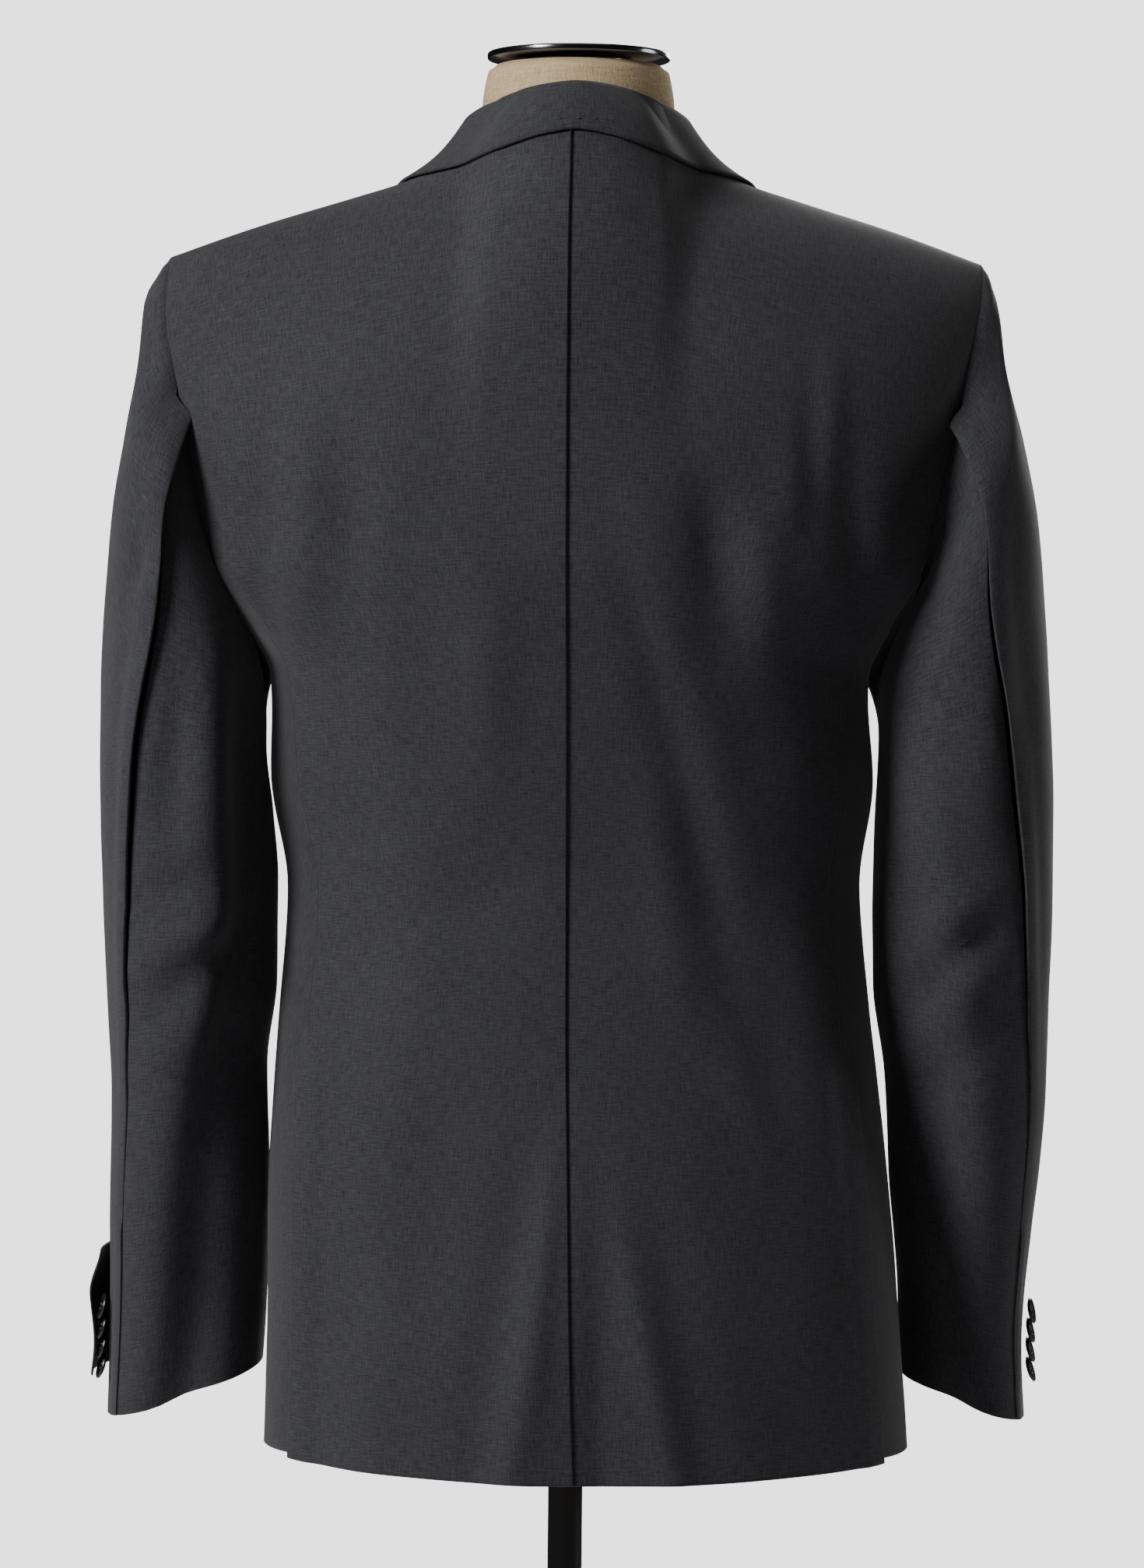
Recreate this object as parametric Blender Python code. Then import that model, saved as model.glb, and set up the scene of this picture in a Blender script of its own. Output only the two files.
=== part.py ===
"""A two-button wool blazer with two side vents, worn by a limbless dress form on a stand.

Metres, +Z up, floor at z = 0. The blazer's front faces -Y and its wearer's left is +X. Every
cloth panel is a grid of points on one shared body or sleeve shape, given a wall thickness.
"""

import math

import bmesh
import bpy
import numpy as np
from mathutils import Vector

# ---------------------------------------------------------------- driving dimensions
WALL = 0.0016  # thickness of every cloth piece, with its hem or seam allowance
SEAM = 0.0004  # gap between pieces that are sewn edge to edge
LAYER = 0.0011  # air under a piece that lies on another one
CREASE = 0.0030  # radius of a soft fold-over, such as the collar's
COLLAR_START = 0.0036  # from the neckline's seam to the collar's lower edge, for its wall

BACK_TOP = 1.277  # height where the back armhole meets the side-back seam
FRONT_TOP = 1.262  # height where the front armhole meets the side-front seam
UNDERARM = 1.215  # lowest point of the armhole
SHOULDER_TIP = 0.227  # half the shoulder width
NECK_SIDE = 0.068  # from the centre to where neckline and shoulder seam meet
BREAK = 1.136  # height where the lapel starts to turn
GORGE = 1.447  # height where the lapel's top edge leaves the roll line
GORGE_GAP = 0.0010  # between the lapel's top edge and the collar's end
FRONT_LAP = 0.020  # how far each front passes the centre line
FRONT_UNDER = 0.0058  # how far the right front lies behind the left one along the lap
CUTAWAY_TOP = 0.940  # where the rounded lower front corner starts
CUTAWAY = 0.078  # how far that corner draws back from the front edge
BACK_HEM = 0.7805
BACK_HEM_RISE = 0.0060  # how much higher the back hem is at the vents
SIDE_HEM = 0.7890
FRONT_HEM = 0.7860
FRONT_HEM_RISE = 0.0030
VENT_TOP = 1.000
VENT_LAP = 0.008  # how far the back panel laps over the side panel along the vent
VENT_RUN = 0.010  # half the height over which that lap begins
VENT_STEP = 0.0023  # how far the back panel stands off the side panel along the vent
VENT_SET = 0.006  # from the seam to where that step starts on the back panel
SLEEVE_FULL = 1.165  # below this the sleeve is one full tube
CUFF = 0.8155  # middle height of the cuff's edge

FORM_INSET = 0.010  # the dress form is this much smaller than the cloth round the trunk
FORM_GAP = 0.0010  # from the form's shoulders to the cloth that rests on them
FORM_CHEST = 1.255  # where the form's trunk starts to round over into its shoulders
FORM_BOTTOM = 0.800
FORM_FULL = 1.200  # above this the form keeps one section up to its shoulders
FORM_NECK = (0.0570, 0.0580)  # half its neck's width and depth where the shoulders meet it
NECK_AXIS = 0.004  # how far behind the origin the form's neck stands
NECK_TOP = 1.5562
FORM_NECK_RINGS = ((0.0545, 1.516), (0.0535, 1.536), (0.0500, NECK_TOP))
CAP_RADIUS = 0.0511
CAP_RIM = 0.0038
CAP_RECESS = 0.0035  # the cap stands on a narrower foot of this height
CAP_FOOT = 0.030
POLE_RADIUS = 0.0096
BASE_RADIUS = 0.190
BASE_THICK = 0.008
HUB_RADIUS = 0.022
HUB_HEIGHT = 0.030

CUFF_BUTTON = (0.0075, 0.0026)  # radius, thickness
FRONT_BUTTON = (0.0100, 0.0034)
CUFF_BUTTON_PITCH = 0.0112
CUFF_BUTTON_TOP = 0.8755
CUFF_BUTTON_TURN = 24.0  # degrees round the sleeve from the back seam to the buttons
CUFF_BUTTON_LEAN = 17.0  # degrees that each one tips over its neighbour
CUFF_BUTTON_LIFT = 0.0012
FRONT_BUTTON_LIFT = 0.0010
FRONT_BUTTON_HEIGHTS = (1.120, 1.020)

LABEL_WALL = 0.0008
LABEL_HEIGHTS = (0.9050, 0.8370)  # its top and bottom edge
LABEL_ANGLES = (-48.0, 14.0)  # its sewn edge and its free edge, round the sleeve
LABEL_LIFT = (0.0018, 0.0085)  # off the sleeve at the sewn edge, and how much more beyond it
LABEL_LOW_TOP = 0.60  # share of that lift which is missing at its top edge
LABEL_RISE = 0.024  # from there down to the full lift
LABEL_WAVE = 0.0014

# ---------------------------------------------------------------- tables
# Horizontal sections of the trunk, one row per height. Half width, depth behind and before
# the side line, how square each half is, the angle from the centre back to each seam, the
# sideways shift of the whole section, and where the centre back seam runs.
BODY_COLUMNS = (
    "z", "half_width", "back", "front", "back_power", "front_power",
    "seam_back", "seam_front", "shift", "centre_back",
)
BODY = [
    (0.780, 0.1803, 0.143, 0.140, 2.25, 2.30, 63.5, 113.0, -0.0113, -0.0036),
    (0.850, 0.1766, 0.138, 0.134, 2.25, 2.30, 63.8, 113.0, -0.0092, -0.0010),
    (0.940, 0.1726, 0.125, 0.125, 2.30, 2.30, 65.3, 113.0, -0.0057, 0.0010),
    (1.030, 0.1650, 0.108, 0.117, 2.30, 2.30, 67.8, 113.0, -0.0026, 0.0026),
    (1.100, 0.1597, 0.100, 0.112, 2.30, 2.30, 68.5, 113.0, -0.0015, 0.0030),
    (1.160, 0.1680, 0.108, 0.116, 2.30, 2.30, 69.5, 112.0, 0.0000, 0.0034),
    (1.200, 0.1665, 0.114, 0.120, 2.30, 2.30, 70.5, 111.0, 0.0015, 0.0038),
    (1.217, 0.1672, 0.1165, 0.121, 2.30, 2.30, 71.0, 110.5, 0.0020, 0.0040),
    (1.244, 0.1830, 0.1195, 0.122, 2.30, 2.30, 71.5, 109.0, 0.0028, 0.0044),
    (1.277, 0.2050, 0.122, 0.122, 2.30, 2.30, 75.0, 107.0, 0.0035, 0.0048),
    (1.400, 0.2150, 0.122, 0.122, 2.30, 2.30, 75.0, 107.0, 0.0035, 0.0053),
    (1.449, 0.2270, 0.122, 0.122, 2.30, 2.30, 75.0, 107.0, 0.0005, 0.0052),
    (1.520, 0.2270, 0.122, 0.122, 2.30, 2.30, 75.0, 107.0, 0.0005, 0.0043),
]

# The line over the top, from the centre back along the neckline to the neck side, then
# along the shoulder seam to the tip. The power rounds the cloth between it and the chest.
RIDGE_COLUMNS = ("x", "y", "z", "power")
RIDGE = [
    (0.0000, 0.0775, 1.5190, 1.50),
    (0.0200, 0.0740, 1.5182, 1.50),
    (0.0450, 0.0560, 1.5130, 1.60),
    (0.0680, 0.0120, 1.5030, 1.80),
    (0.0970, 0.0040, 1.4905, 1.95),
    (0.1236, 0.0000, 1.4824, 2.00),
    (0.1783, -0.0060, 1.4660, 2.00),
    (0.2270, -0.0100, 1.4490, 2.00),
]

# How far out the armhole edge of each panel lies, by height.
ARMHOLE_COLUMNS = ("z", "back", "front")
ARMHOLE = [
    (1.262, 0.1900, 0.1800),
    (1.277, 0.1948, 0.1835),
    (1.300, 0.2004, 0.1880),
    (1.350, 0.2120, 0.1950),
    (1.385, 0.2193, 0.2040),
    (1.409, 0.2245, 0.2130),
    (1.430, 0.2268, 0.2220),
    (1.449, 0.2270, 0.2270),
]

# Lower edge of the armhole across the side panel, from its back seam to its front seam.
UNDERARM_EDGE = [(0.0, BACK_TOP), (0.30, 1.232), (0.58, UNDERARM), (0.82, 1.228), (1.0, FRONT_TOP)]

# The sleeve as a tube: its outer and inner side for each arm, its hindmost and foremost line.
SLEEVE_COLUMNS = ("z", "outer_left", "outer_right", "inner_left", "inner_right", "behind", "before")
SLEEVE = [
    (0.805, 0.2594, 0.2595, 0.1725, 0.1885, 0.002, -0.090),
    (0.860, 0.2580, 0.2570, 0.1692, 0.1868, 0.014, -0.089),
    (0.920, 0.2580, 0.2610, 0.1682, 0.1812, 0.032, -0.087),
    (0.990, 0.2565, 0.2670, 0.1700, 0.1768, 0.050, -0.084),
    (1.040, 0.2590, 0.2682, 0.1645, 0.1700, 0.060, -0.082),
    (1.100, 0.2620, 0.2694, 0.1640, 0.1690, 0.068, -0.080),
    (1.140, 0.2632, 0.2691, 0.1672, 0.1698, 0.071, -0.080),
    (1.180, 0.2639, 0.2677, 0.1715, 0.1715, 0.073, -0.080),
    (1.215, 0.2636, 0.2660, 0.1715, 0.1705, 0.074, -0.080),
    (1.245, 0.2624, 0.2640, 0.1780, 0.1780, 0.074, -0.080),
    (1.300, 0.2585, 0.2597, 0.2004, 0.2004, 0.070, -0.078),
    (1.350, 0.2510, 0.2496, 0.2120, 0.2120, 0.062, -0.073),
    (1.390, 0.2444, 0.2395, 0.2193, 0.2193, 0.050, -0.064),
    (1.420, 0.2420, 0.2360, 0.2240, 0.2240, 0.036, -0.052),
    (1.440, 0.2350, 0.2320, 0.2262, 0.2262, 0.016, -0.034),
    (1.449, 0.2275, 0.2275, 0.2270, 0.2270, -0.008, -0.012),
]
# Where the sleeve's back seam runs round the tube, as an angle from its outer side.
BACK_SEAM = [
    (0.80, 36.0), (0.92, 42.0), (1.02, 48.0), (1.10, 56.0), (1.17, 64.0), (1.21, 71.0),
    (1.25, 82.0), (1.28, 91.0), (1.31, 100.0), (1.34, 108.0),
]
FRONT_SEAM_ANGLE = 222.0
SLEEVE_POWER = 2.2  # how square the sleeve's sections are
CUFF_TILT = (-0.35, -0.12)  # slope of the cuff's plane outward and rearward

# The collar, one row per station from the centre back to the gorge. Station 0-1 follows the
# neckline and 1-2 the roll line. The rise is from the seam to the roll, and the fall ends on
# the panels at a distance from the centre and an angle over the shoulder (90 is the ridge).
# The swell is how far the fall stands out (or in) between the roll and that end.
COLLAR_COLUMNS = ("station", "rise_x", "rise_y", "rise_z", "fall_x", "fall_angle", "swell")
COLLAR = [
    (0.00, 0.0000, -0.0110, 0.0205, 0.0000, 77.5, 0.0018),
    (0.35, -0.0035, -0.0090, 0.0205, 0.0415, 72.5, 0.0018),
    (0.60, -0.0060, -0.0060, 0.0205, 0.0620, 74.0, 0.0018),
    (0.85, -0.0075, -0.0030, 0.0215, 0.0820, 79.5, 0.0018),
    (1.00, -0.0075, -0.0030, 0.0210, 0.0940, 88.0, 0.0018),
    (1.25, -0.0050, -0.0070, 0.0120, 0.1020, 99.0, 0.0018),
    (1.60, -0.0010, -0.0090, 0.0070, 0.1080, 110.0, 0.0018),
    (1.86, -0.0005, -0.0080, 0.0052, 0.1090, 118.0, 0.0018),
    (2.00, 0.0000, -0.0075, 0.0050, 0.0980, 132.0, 0.0018),
]

# The lapel's outer edge, from the break up to its point.
LAPEL_COLUMNS = ("along", "x", "z")
LAPEL = [
    (0.0, -0.0155, 1.1380),
    (0.2, 0.0360, 1.1960),
    (0.4, 0.0740, 1.2620),
    (0.6, 0.1010, 1.3220),
    (0.8, 0.1210, 1.3760),
    (1.0, 0.1320, 1.4120),
]

# The hip pocket flap, by its angle round the trunk from the centre back.
FLAP_ANGLES = (102.0, 146.0)
FLAP_TOP = (1.022, 1.012)  # height at its rear end and its front end
FLAP_DEPTH = 0.048
FLAP_FLARE = 0.0035

# Soft folds of the body cloth: place of the line's ends, half width and height of the fold.
FOLD_COLUMNS = ("x_low", "z_low", "x_high", "z_high", "half_width", "height")
BACK_FOLDS = [
    (0.034, 0.780, 0.003, 0.960, 0.030, 0.0045),
    (-0.058, 0.780, -0.030, 0.930, 0.032, 0.0045),
    (0.105, 0.800, 0.070, 1.060, 0.030, -0.0030),
    (-0.118, 0.800, -0.085, 1.080, 0.032, -0.0032),
    (0.118, 1.140, 0.128, 1.260, 0.022, -0.0045),
    (-0.150, 1.150, -0.158, 1.270, 0.020, -0.0045),
    (-0.080, 1.240, -0.086, 1.330, 0.022, -0.0035),
]

# Rows up a body panel below the armhole, rows over the shoulder in degrees, and the columns.
LOW_ROWS = (
    0.0, 0.02, 0.05, 0.095, 0.15, 0.22, 0.31, 0.395, 0.445, 0.53, 0.62, 0.71, 0.80, 0.88, 0.94, 1.0,
)
OVER_ROWS = (13.0, 26.0, 38.0, 50.1, 61.0, 71.0, 80.0, 90.0)
NECK_COLUMNS = (0.0, 0.016, 0.031, 0.045, 0.057, 0.068)
SHOULDER_COLUMNS = (0.068, 0.090, 0.115, 0.140, 0.165, 0.187, 0.208, 0.227)
SIDE_COLUMNS = (0.0, 0.15, 0.32, 0.50, 0.66, 0.82, 1.0)
CAP_ROWS = (0.0, 0.06, 0.17, 0.34, 0.56, 0.79, 1.0)
TUBE_ROWS = (0.10, 0.20, 0.31, 0.42, 0.53, 0.64, 0.74, 0.83, 0.92, 1.0)
BACK_SEAM_ROW = 6  # the armhole corner, counted from the tip, where each sleeve seam starts
FRONT_SEAM_ROW = 13

# Colour, roughness and metallic value of each material.
MATERIALS = {
    "suiting": ((0.045, 0.046, 0.052), 0.85, 0.0),
    "linen": ((0.46, 0.37, 0.26), 0.90, 0.0),
    "horn_button": ((0.012, 0.012, 0.014), 0.35, 0.0),
    "label_cloth": ((0.004, 0.004, 0.004), 0.60, 0.0),
    "dark_chrome": ((0.30, 0.30, 0.31), 0.18, 1.0),
    "black_steel": ((0.010, 0.010, 0.011), 0.40, 0.0),
}


# ---------------------------------------------------------------- smooth tables
def track(at, values):
    """A smooth curve through a table's points that never overshoots them."""
    at = np.array(at, float)
    values = np.array(values, float)
    step = np.diff(at)
    slope = np.diff(values) / step
    bend = np.zeros_like(values)
    both = slope[:-1] * slope[1:]
    same = both > 0
    bend[1:-1][same] = 2 * both[same] / (slope[:-1] + slope[1:])[same]
    bend[0] = slope[0]
    bend[-1] = slope[-1]

    def value(x):
        x = np.clip(x, at[0], at[-1])
        i = np.clip(np.searchsorted(at, x) - 1, 0, len(step) - 1)
        t = (x - at[i]) / step[i]
        near = values[i] * (1 + 2 * t) * (1 - t) ** 2 + step[i] * bend[i] * t * (1 - t) ** 2
        far = values[i + 1] * t * t * (3 - 2 * t) + step[i] * bend[i + 1] * t * t * (t - 1)
        return near + far

    return value


def tracks(columns, rows):
    """One curve for each named column after the first, which is where they are read."""
    values = np.array(rows, float).T
    return {name: track(values[0], column) for name, column in zip(columns[1:], values[1:])}


BODY_AT = tracks(BODY_COLUMNS, BODY)
RIDGE_AT = tracks(RIDGE_COLUMNS, RIDGE)
ARMHOLE_AT = tracks(ARMHOLE_COLUMNS, ARMHOLE)
SLEEVE_AT = tracks(SLEEVE_COLUMNS, SLEEVE)
COLLAR_AT = tracks(COLLAR_COLUMNS, COLLAR)
LAPEL_AT = tracks(LAPEL_COLUMNS, LAPEL)
UNDERARM_AT = track(*zip(*UNDERARM_EDGE))
BACK_SEAM_AT = track(*zip(*BACK_SEAM))


def smooth(low, high, x):
    t = np.clip((x - low) / (high - low), 0, 1)
    return t * t * (3 - 2 * t)


def points(x, y, z):
    return np.stack(np.broadcast_arrays(x, y, z), axis=-1).astype(float)


# ---------------------------------------------------------------- the body shape
def section(angle, z, inset=0.0):
    """Distance out and back of the trunk at an angle from the centre back, in radians."""
    width = BODY_AT["half_width"](z) - inset
    behind = np.cos(angle) > 0
    depth = np.where(behind, BODY_AT["back"](z), BODY_AT["front"](z)) - inset
    power = np.where(behind, BODY_AT["back_power"](z), BODY_AT["front_power"](z))
    reach = (np.abs(np.sin(angle) / width) ** power + np.abs(np.cos(angle) / depth) ** power)
    reach = reach ** (-1 / power)
    return reach * np.sin(angle), reach * np.cos(angle)


def depth_at(x, z, behind):
    """How far back or forward the trunk reaches at a distance from the centre."""
    half = "back" if behind else "front"
    share = np.clip(np.abs(x) / BODY_AT["half_width"](z), 0, 0.999)
    power = BODY_AT[half + "_power"](z)
    reach = BODY_AT[half](z) * (1 - share**power) ** (1 / power)
    return reach if behind else -reach


def place(side, x, y, z):
    """Puts a point given for the wearer's left on either side, with the section's shift."""
    return points(BODY_AT["shift"](z) + side * x, y, z)


def over(x, base_y, sine, top):
    """The cloth between the chest and the ridge: y and z at a share of the climb. In front
    it climbs to the neck side and the shoulder seam, behind to the whole ridge."""
    x = np.maximum(np.abs(x), NECK_SIDE) if top == FRONT_TOP else x
    power = RIDGE_AT["power"](np.abs(x))
    fade = np.clip(1 - sine**power, 0, 1) ** (1 / power)
    ridge_y = RIDGE_AT["y"](np.abs(x))
    z = top + (RIDGE_AT["z"](np.abs(x)) - top) * sine
    return ridge_y + (base_y - ridge_y) * fade, z


def fold_relief(x, z):
    """Height of the back's soft folds at a point."""
    total = np.zeros(np.broadcast(x, z).shape)
    for x_low, z_low, x_high, z_high, half, height in BACK_FOLDS:
        along = np.clip((z - z_low) / (z_high - z_low), -0.5, 1.5)
        line = x_low + (x_high - x_low) * along
        fade = smooth(-0.5, 0.0, along) * (1 - smooth(0.6, 1.3, along))
        if z_low < 0.85:
            fade = 1 - smooth(0.3, 1.2, along)
        total += height * fade * np.exp(-(((x - line) / half) ** 2))
    return total


def back_grid(side):
    """Rows from the hem up to the ridge, columns from the centre back to the side."""
    ridge_x = np.array(NECK_COLUMNS[:-1] + SHOULDER_COLUMNS)
    top_centre = side * (BODY_AT["centre_back"](1.52) - BODY_AT["shift"](1.52))
    share = (ridge_x - top_centre) / (SHOULDER_TIP - top_centre)
    share[0] = 0.0
    centre = side * (BODY_AT["centre_back"](BACK_TOP) - BODY_AT["shift"](BACK_TOP))
    base_x = centre + (ARMHOLE_AT["back"](BACK_TOP) - centre) * share
    base_y = depth_at(base_x, BACK_TOP, True)
    angle = np.arctan2(base_x, base_y)
    turn = (angle - angle[0]) / (angle[-1] - angle[0])
    low = BACK_HEM + BACK_HEM_RISE * turn**2
    rows = []
    for row in LOW_ROWS:
        z = low + (BACK_TOP - low) * row
        inner = side * (BODY_AT["centre_back"](z) - BODY_AT["shift"](z))
        first = np.arctan2(inner, BODY_AT["back"](z))
        last = seam_angle(z)
        width = BODY_AT["half_width"](z)
        vent = z < VENT_TOP + VENT_RUN
        around = first + (last - first) * turn
        around = np.where(vent & (turn == turn[-2]), last - VENT_SET / width, around)
        lap = VENT_LAP / width * (z < VENT_TOP - VENT_RUN)
        around = np.where(turn == turn[-1], last + lap, around)
        x, y = section(around, z)
        lift = VENT_STEP * vent * (turn >= turn[-2])
        x = x + lift * np.sin(around)
        y = y + lift * np.cos(around) + fold_relief(side * x, z) * (1 - turn**4)
        rows.append(place(side, x, y, z))
    for degrees in OVER_ROWS:
        sine = math.sin(math.radians(degrees))
        x = ridge_x
        for _ in range(4):
            _, z = over(x, base_y, sine, BACK_TOP)
            inner = side * (BODY_AT["centre_back"](z) - BODY_AT["shift"](z))
            x = inner + (ARMHOLE_AT["back"](z[-1]) - inner) * share
        y, z = over(x, base_y, sine, BACK_TOP)
        y = y + fold_relief(side * x, z) * (1 - turn**4) * (1 - sine)
        rows.append(place(side, x, y, z))
    return np.array(rows)


def seam_angle(z):
    """Angle of the side-back seam, so that it ends at the armhole's corner."""
    corner_x = ARMHOLE_AT["back"](BACK_TOP)
    corner = np.arctan2(corner_x, depth_at(corner_x, BACK_TOP, True))
    usual = np.radians(BODY_AT["seam_back"](z))
    missed = corner - np.radians(BODY_AT["seam_back"](BACK_TOP))
    return usual + missed * smooth(1.20, BACK_TOP, z)


def front_seam_angle(z):
    """Angle of the side-front seam, so that it ends at the armhole's corner."""
    corner_x = ARMHOLE_AT["front"](FRONT_TOP)
    corner = np.arctan2(corner_x, depth_at(corner_x, FRONT_TOP, False))
    usual = np.radians(BODY_AT["seam_front"](z))
    missed = corner - np.radians(BODY_AT["seam_front"](FRONT_TOP))
    return usual + missed * smooth(1.15, FRONT_TOP, z)


def side_grid(side):
    """Rows from the hem up to the underarm, columns from the side-back seam forward."""
    across = np.array(SIDE_COLUMNS)
    rows = []
    for row in LOW_ROWS:
        z = SIDE_HEM + (UNDERARM_AT(across) - SIDE_HEM) * row
        around = seam_angle(z) + (front_seam_angle(z) - seam_angle(z)) * across
        x, y = section(around, z)
        rows.append(place(side, x, y, z))
    return np.array(rows)


def front_edge(z):
    """The front's inner edge: rounded corner, straight edge, then the roll line."""
    down = np.clip((CUTAWAY_TOP - z) / (CUTAWAY_TOP - FRONT_HEM), 0, 1)
    corner = CUTAWAY * (1 - np.sqrt(1 - 0.985 * down**2))
    rolled = np.clip((z - BREAK) / (RIDGE_AT["z"](NECK_SIDE) - BREAK), 0, 1)
    return -FRONT_LAP + corner + (NECK_SIDE + FRONT_LAP) * rolled


def tuck(side, x):
    """The right front lies under the left one along the lap, with its lapel between them."""
    depth = FRONT_UNDER if side < 0 else 0.0
    return depth * (1 - smooth(0.022, 0.052, x))


def front_shares():
    """Columns of the front panel as shares of its base line, and the depth there."""
    ridge_x = np.array(SHOULDER_COLUMNS)
    share = (ridge_x - NECK_SIDE) / (SHOULDER_TIP - NECK_SIDE)
    inner = front_edge(FRONT_TOP)
    base_x = inner + (ARMHOLE_AT["front"](FRONT_TOP) - inner) * share
    return share, base_x, depth_at(base_x, FRONT_TOP, False)


def front_grid(side):
    """Rows from the hem up to the shoulder seam, columns from the front edge to the side."""
    share, base_x, base_y = front_shares()
    angle = np.arctan2(base_x, -base_y)
    turn = (angle - angle[0]) / (angle[-1] - angle[0])
    rows = []
    for row in LOW_ROWS:
        low = FRONT_HEM + FRONT_HEM_RISE * turn
        z = low + (FRONT_TOP - low) * row
        inner = front_edge(z)
        first = np.arctan2(inner, -depth_at(inner, z, False))
        last = math.pi - front_seam_angle(z)
        x, y = section(math.pi - first - (last - first) * turn, z)
        rows.append(place(side, x, y + tuck(side, x), z))
    for degrees in OVER_ROWS:
        rows.append(front_over(side, share, base_y, math.sin(math.radians(degrees))))
    return np.array(rows)


def front_over(side, share, base_y, sine):
    """One row of the front between the chest and the shoulder seam."""
    x = share * SHOULDER_TIP
    for _ in range(4):
        _, z = over(x, base_y, sine, FRONT_TOP)
        inner = front_edge(FRONT_TOP + (RIDGE_AT["z"](NECK_SIDE) - FRONT_TOP) * sine)
        x = inner + (ARMHOLE_AT["front"](z[-1]) - inner) * share
    y, z = over(x, base_y, sine, FRONT_TOP)
    return place(side, x, y + tuck(side, x), z)


def front_at(side, x, z):
    """Point of the front at a distance from the centre and a height."""
    if z <= FRONT_TOP:
        return place(side, x, depth_at(x, z, False) + tuck(side, x), z)
    sine = (z - FRONT_TOP) / (RIDGE_AT["z"](max(abs(x), NECK_SIDE)) - FRONT_TOP)
    share, _, base_y = front_shares()
    row = front_over(1, share, base_y, min(sine, 1.0))
    depth = np.interp(x, row[:, 0] - BODY_AT["shift"](z), base_y)
    y, _ = over(x, depth, min(sine, 1.0), FRONT_TOP)
    return place(side, x, y + tuck(side, x), z)


def back_at(side, x, sine):
    """Point of the back at a distance from the centre and a share of the climb."""
    z = BACK_TOP + (RIDGE_AT["z"](abs(x)) - BACK_TOP) * sine
    share = x / ARMHOLE_AT["back"](z)
    depth = depth_at(share * ARMHOLE_AT["back"](BACK_TOP), BACK_TOP, True)
    y, z = over(x, depth, sine, BACK_TOP)
    return place(side, x, y, z)


def shoulder_at(side, x, degrees):
    """Point of the cloth over the shoulder: 90 degrees is the ridge, more lies in front."""
    sine = math.sin(math.radians(degrees))
    if degrees <= 90:
        return back_at(side, x, sine)
    return front_at(side, x, FRONT_TOP + (RIDGE_AT["z"](max(x, NECK_SIDE)) - FRONT_TOP) * sine)


# ---------------------------------------------------------------- meshes
def material(name):
    found = bpy.data.materials.get(name)
    if found:
        return found
    colour, roughness, metallic = MATERIALS[name]
    made = bpy.data.materials.new(name)
    made.use_nodes = True
    shader = made.node_tree.nodes["Principled BSDF"]
    shader.inputs["Base Color"].default_value = (*colour, 1.0)
    shader.inputs["Roughness"].default_value = roughness
    shader.inputs["Metallic"].default_value = metallic
    return made


def build(name, corners, faces, material_name, crease=35.0):
    """A closed mesh object with its faces pointing out."""
    mesh = bpy.data.meshes.new(name)
    mesh.from_pydata([tuple(corner) for corner in corners], [], faces)
    work = bmesh.new()
    work.from_mesh(mesh)
    bmesh.ops.recalc_face_normals(work, faces=work.faces)
    if work.calc_volume(signed=True) < 0:
        bmesh.ops.reverse_faces(work, faces=work.faces)
    work.to_mesh(mesh)
    work.free()
    mesh.shade_smooth()
    mesh.set_sharp_from_angle(angle=math.radians(crease))
    mesh.materials.append(material(material_name))
    made = bpy.data.objects.new(name, mesh)
    bpy.context.scene.collection.objects.link(made)
    return made


def unit(vectors):
    return vectors / np.linalg.norm(vectors, axis=-1, keepdims=True)


def normals(grid):
    """Unit normals of a grid of points, from its own rows and columns."""
    return unit(np.cross(np.gradient(grid, axis=1), np.gradient(grid, axis=0)))


def away_from(grid, core):
    """Normals that point away from a line or point inside."""
    found = normals(grid)
    return found if (found * (grid - core)).sum() > 0 else -found


def trunk_core(grid):
    return grid * (0, 0, 1)


def inset(grid, edges, gap=SEAM / 2):
    """Draws the named edges of a grid in along the cloth, for the seam's gap."""
    moved = grid.copy()
    for edge in edges:
        line, beside = {
            "left": ((slice(None), 0), (slice(None), 1)),
            "right": ((slice(None), -1), (slice(None), -2)),
            "bottom": ((0,), (1,)),
            "top": ((-1,), (-2,)),
        }[edge]
        moved[line] += unit(grid[beside] - grid[line]) * gap
    return moved


def shell(name, grid, outward, material_name, wall=WALL):
    """A grid of cloth with a wall on its inner side, closed along all four edges."""
    rows, columns = grid.shape[:2]
    inner = grid - outward * wall
    corners = np.concatenate([grid.reshape(-1, 3), inner.reshape(-1, 3)])
    count = rows * columns
    faces = []
    for r in range(rows - 1):
        for c in range(columns - 1):
            a = r * columns + c
            quad = (a, a + 1, a + columns + 1, a + columns)
            faces.append(quad)
            faces.append(tuple(count + i for i in reversed(quad)))
    bottom = [c for c in range(columns)]
    top = [(rows - 1) * columns + c for c in range(columns)]
    left = [r * columns for r in range(rows)]
    right = [r * columns + columns - 1 for r in range(rows)]
    for edge in (bottom, top, left, right):
        for a, b in zip(edge[:-1], edge[1:]):
            faces.append((a, b, count + b, count + a))
    return build(name, corners, faces, material_name)


def stack(name, rings, ends, material_name, crease=35.0):
    """A closed solid from rings of points with a point in the middle of each end."""
    steps = len(rings[0])
    corners = np.concatenate([[ends[0]], *rings, [ends[1]]])
    last = len(corners) - 1
    faces = []
    for k in range(steps):
        n = (k + 1) % steps
        faces.append((0, 1 + n, 1 + k))
        faces.append((last, last - steps + k, last - steps + n))
        for ring in range(len(rings) - 1):
            a = 1 + ring * steps
            faces.append((a + k, a + n, a + steps + n, a + steps + k))
    return build(name, corners, faces, material_name, crease)


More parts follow.
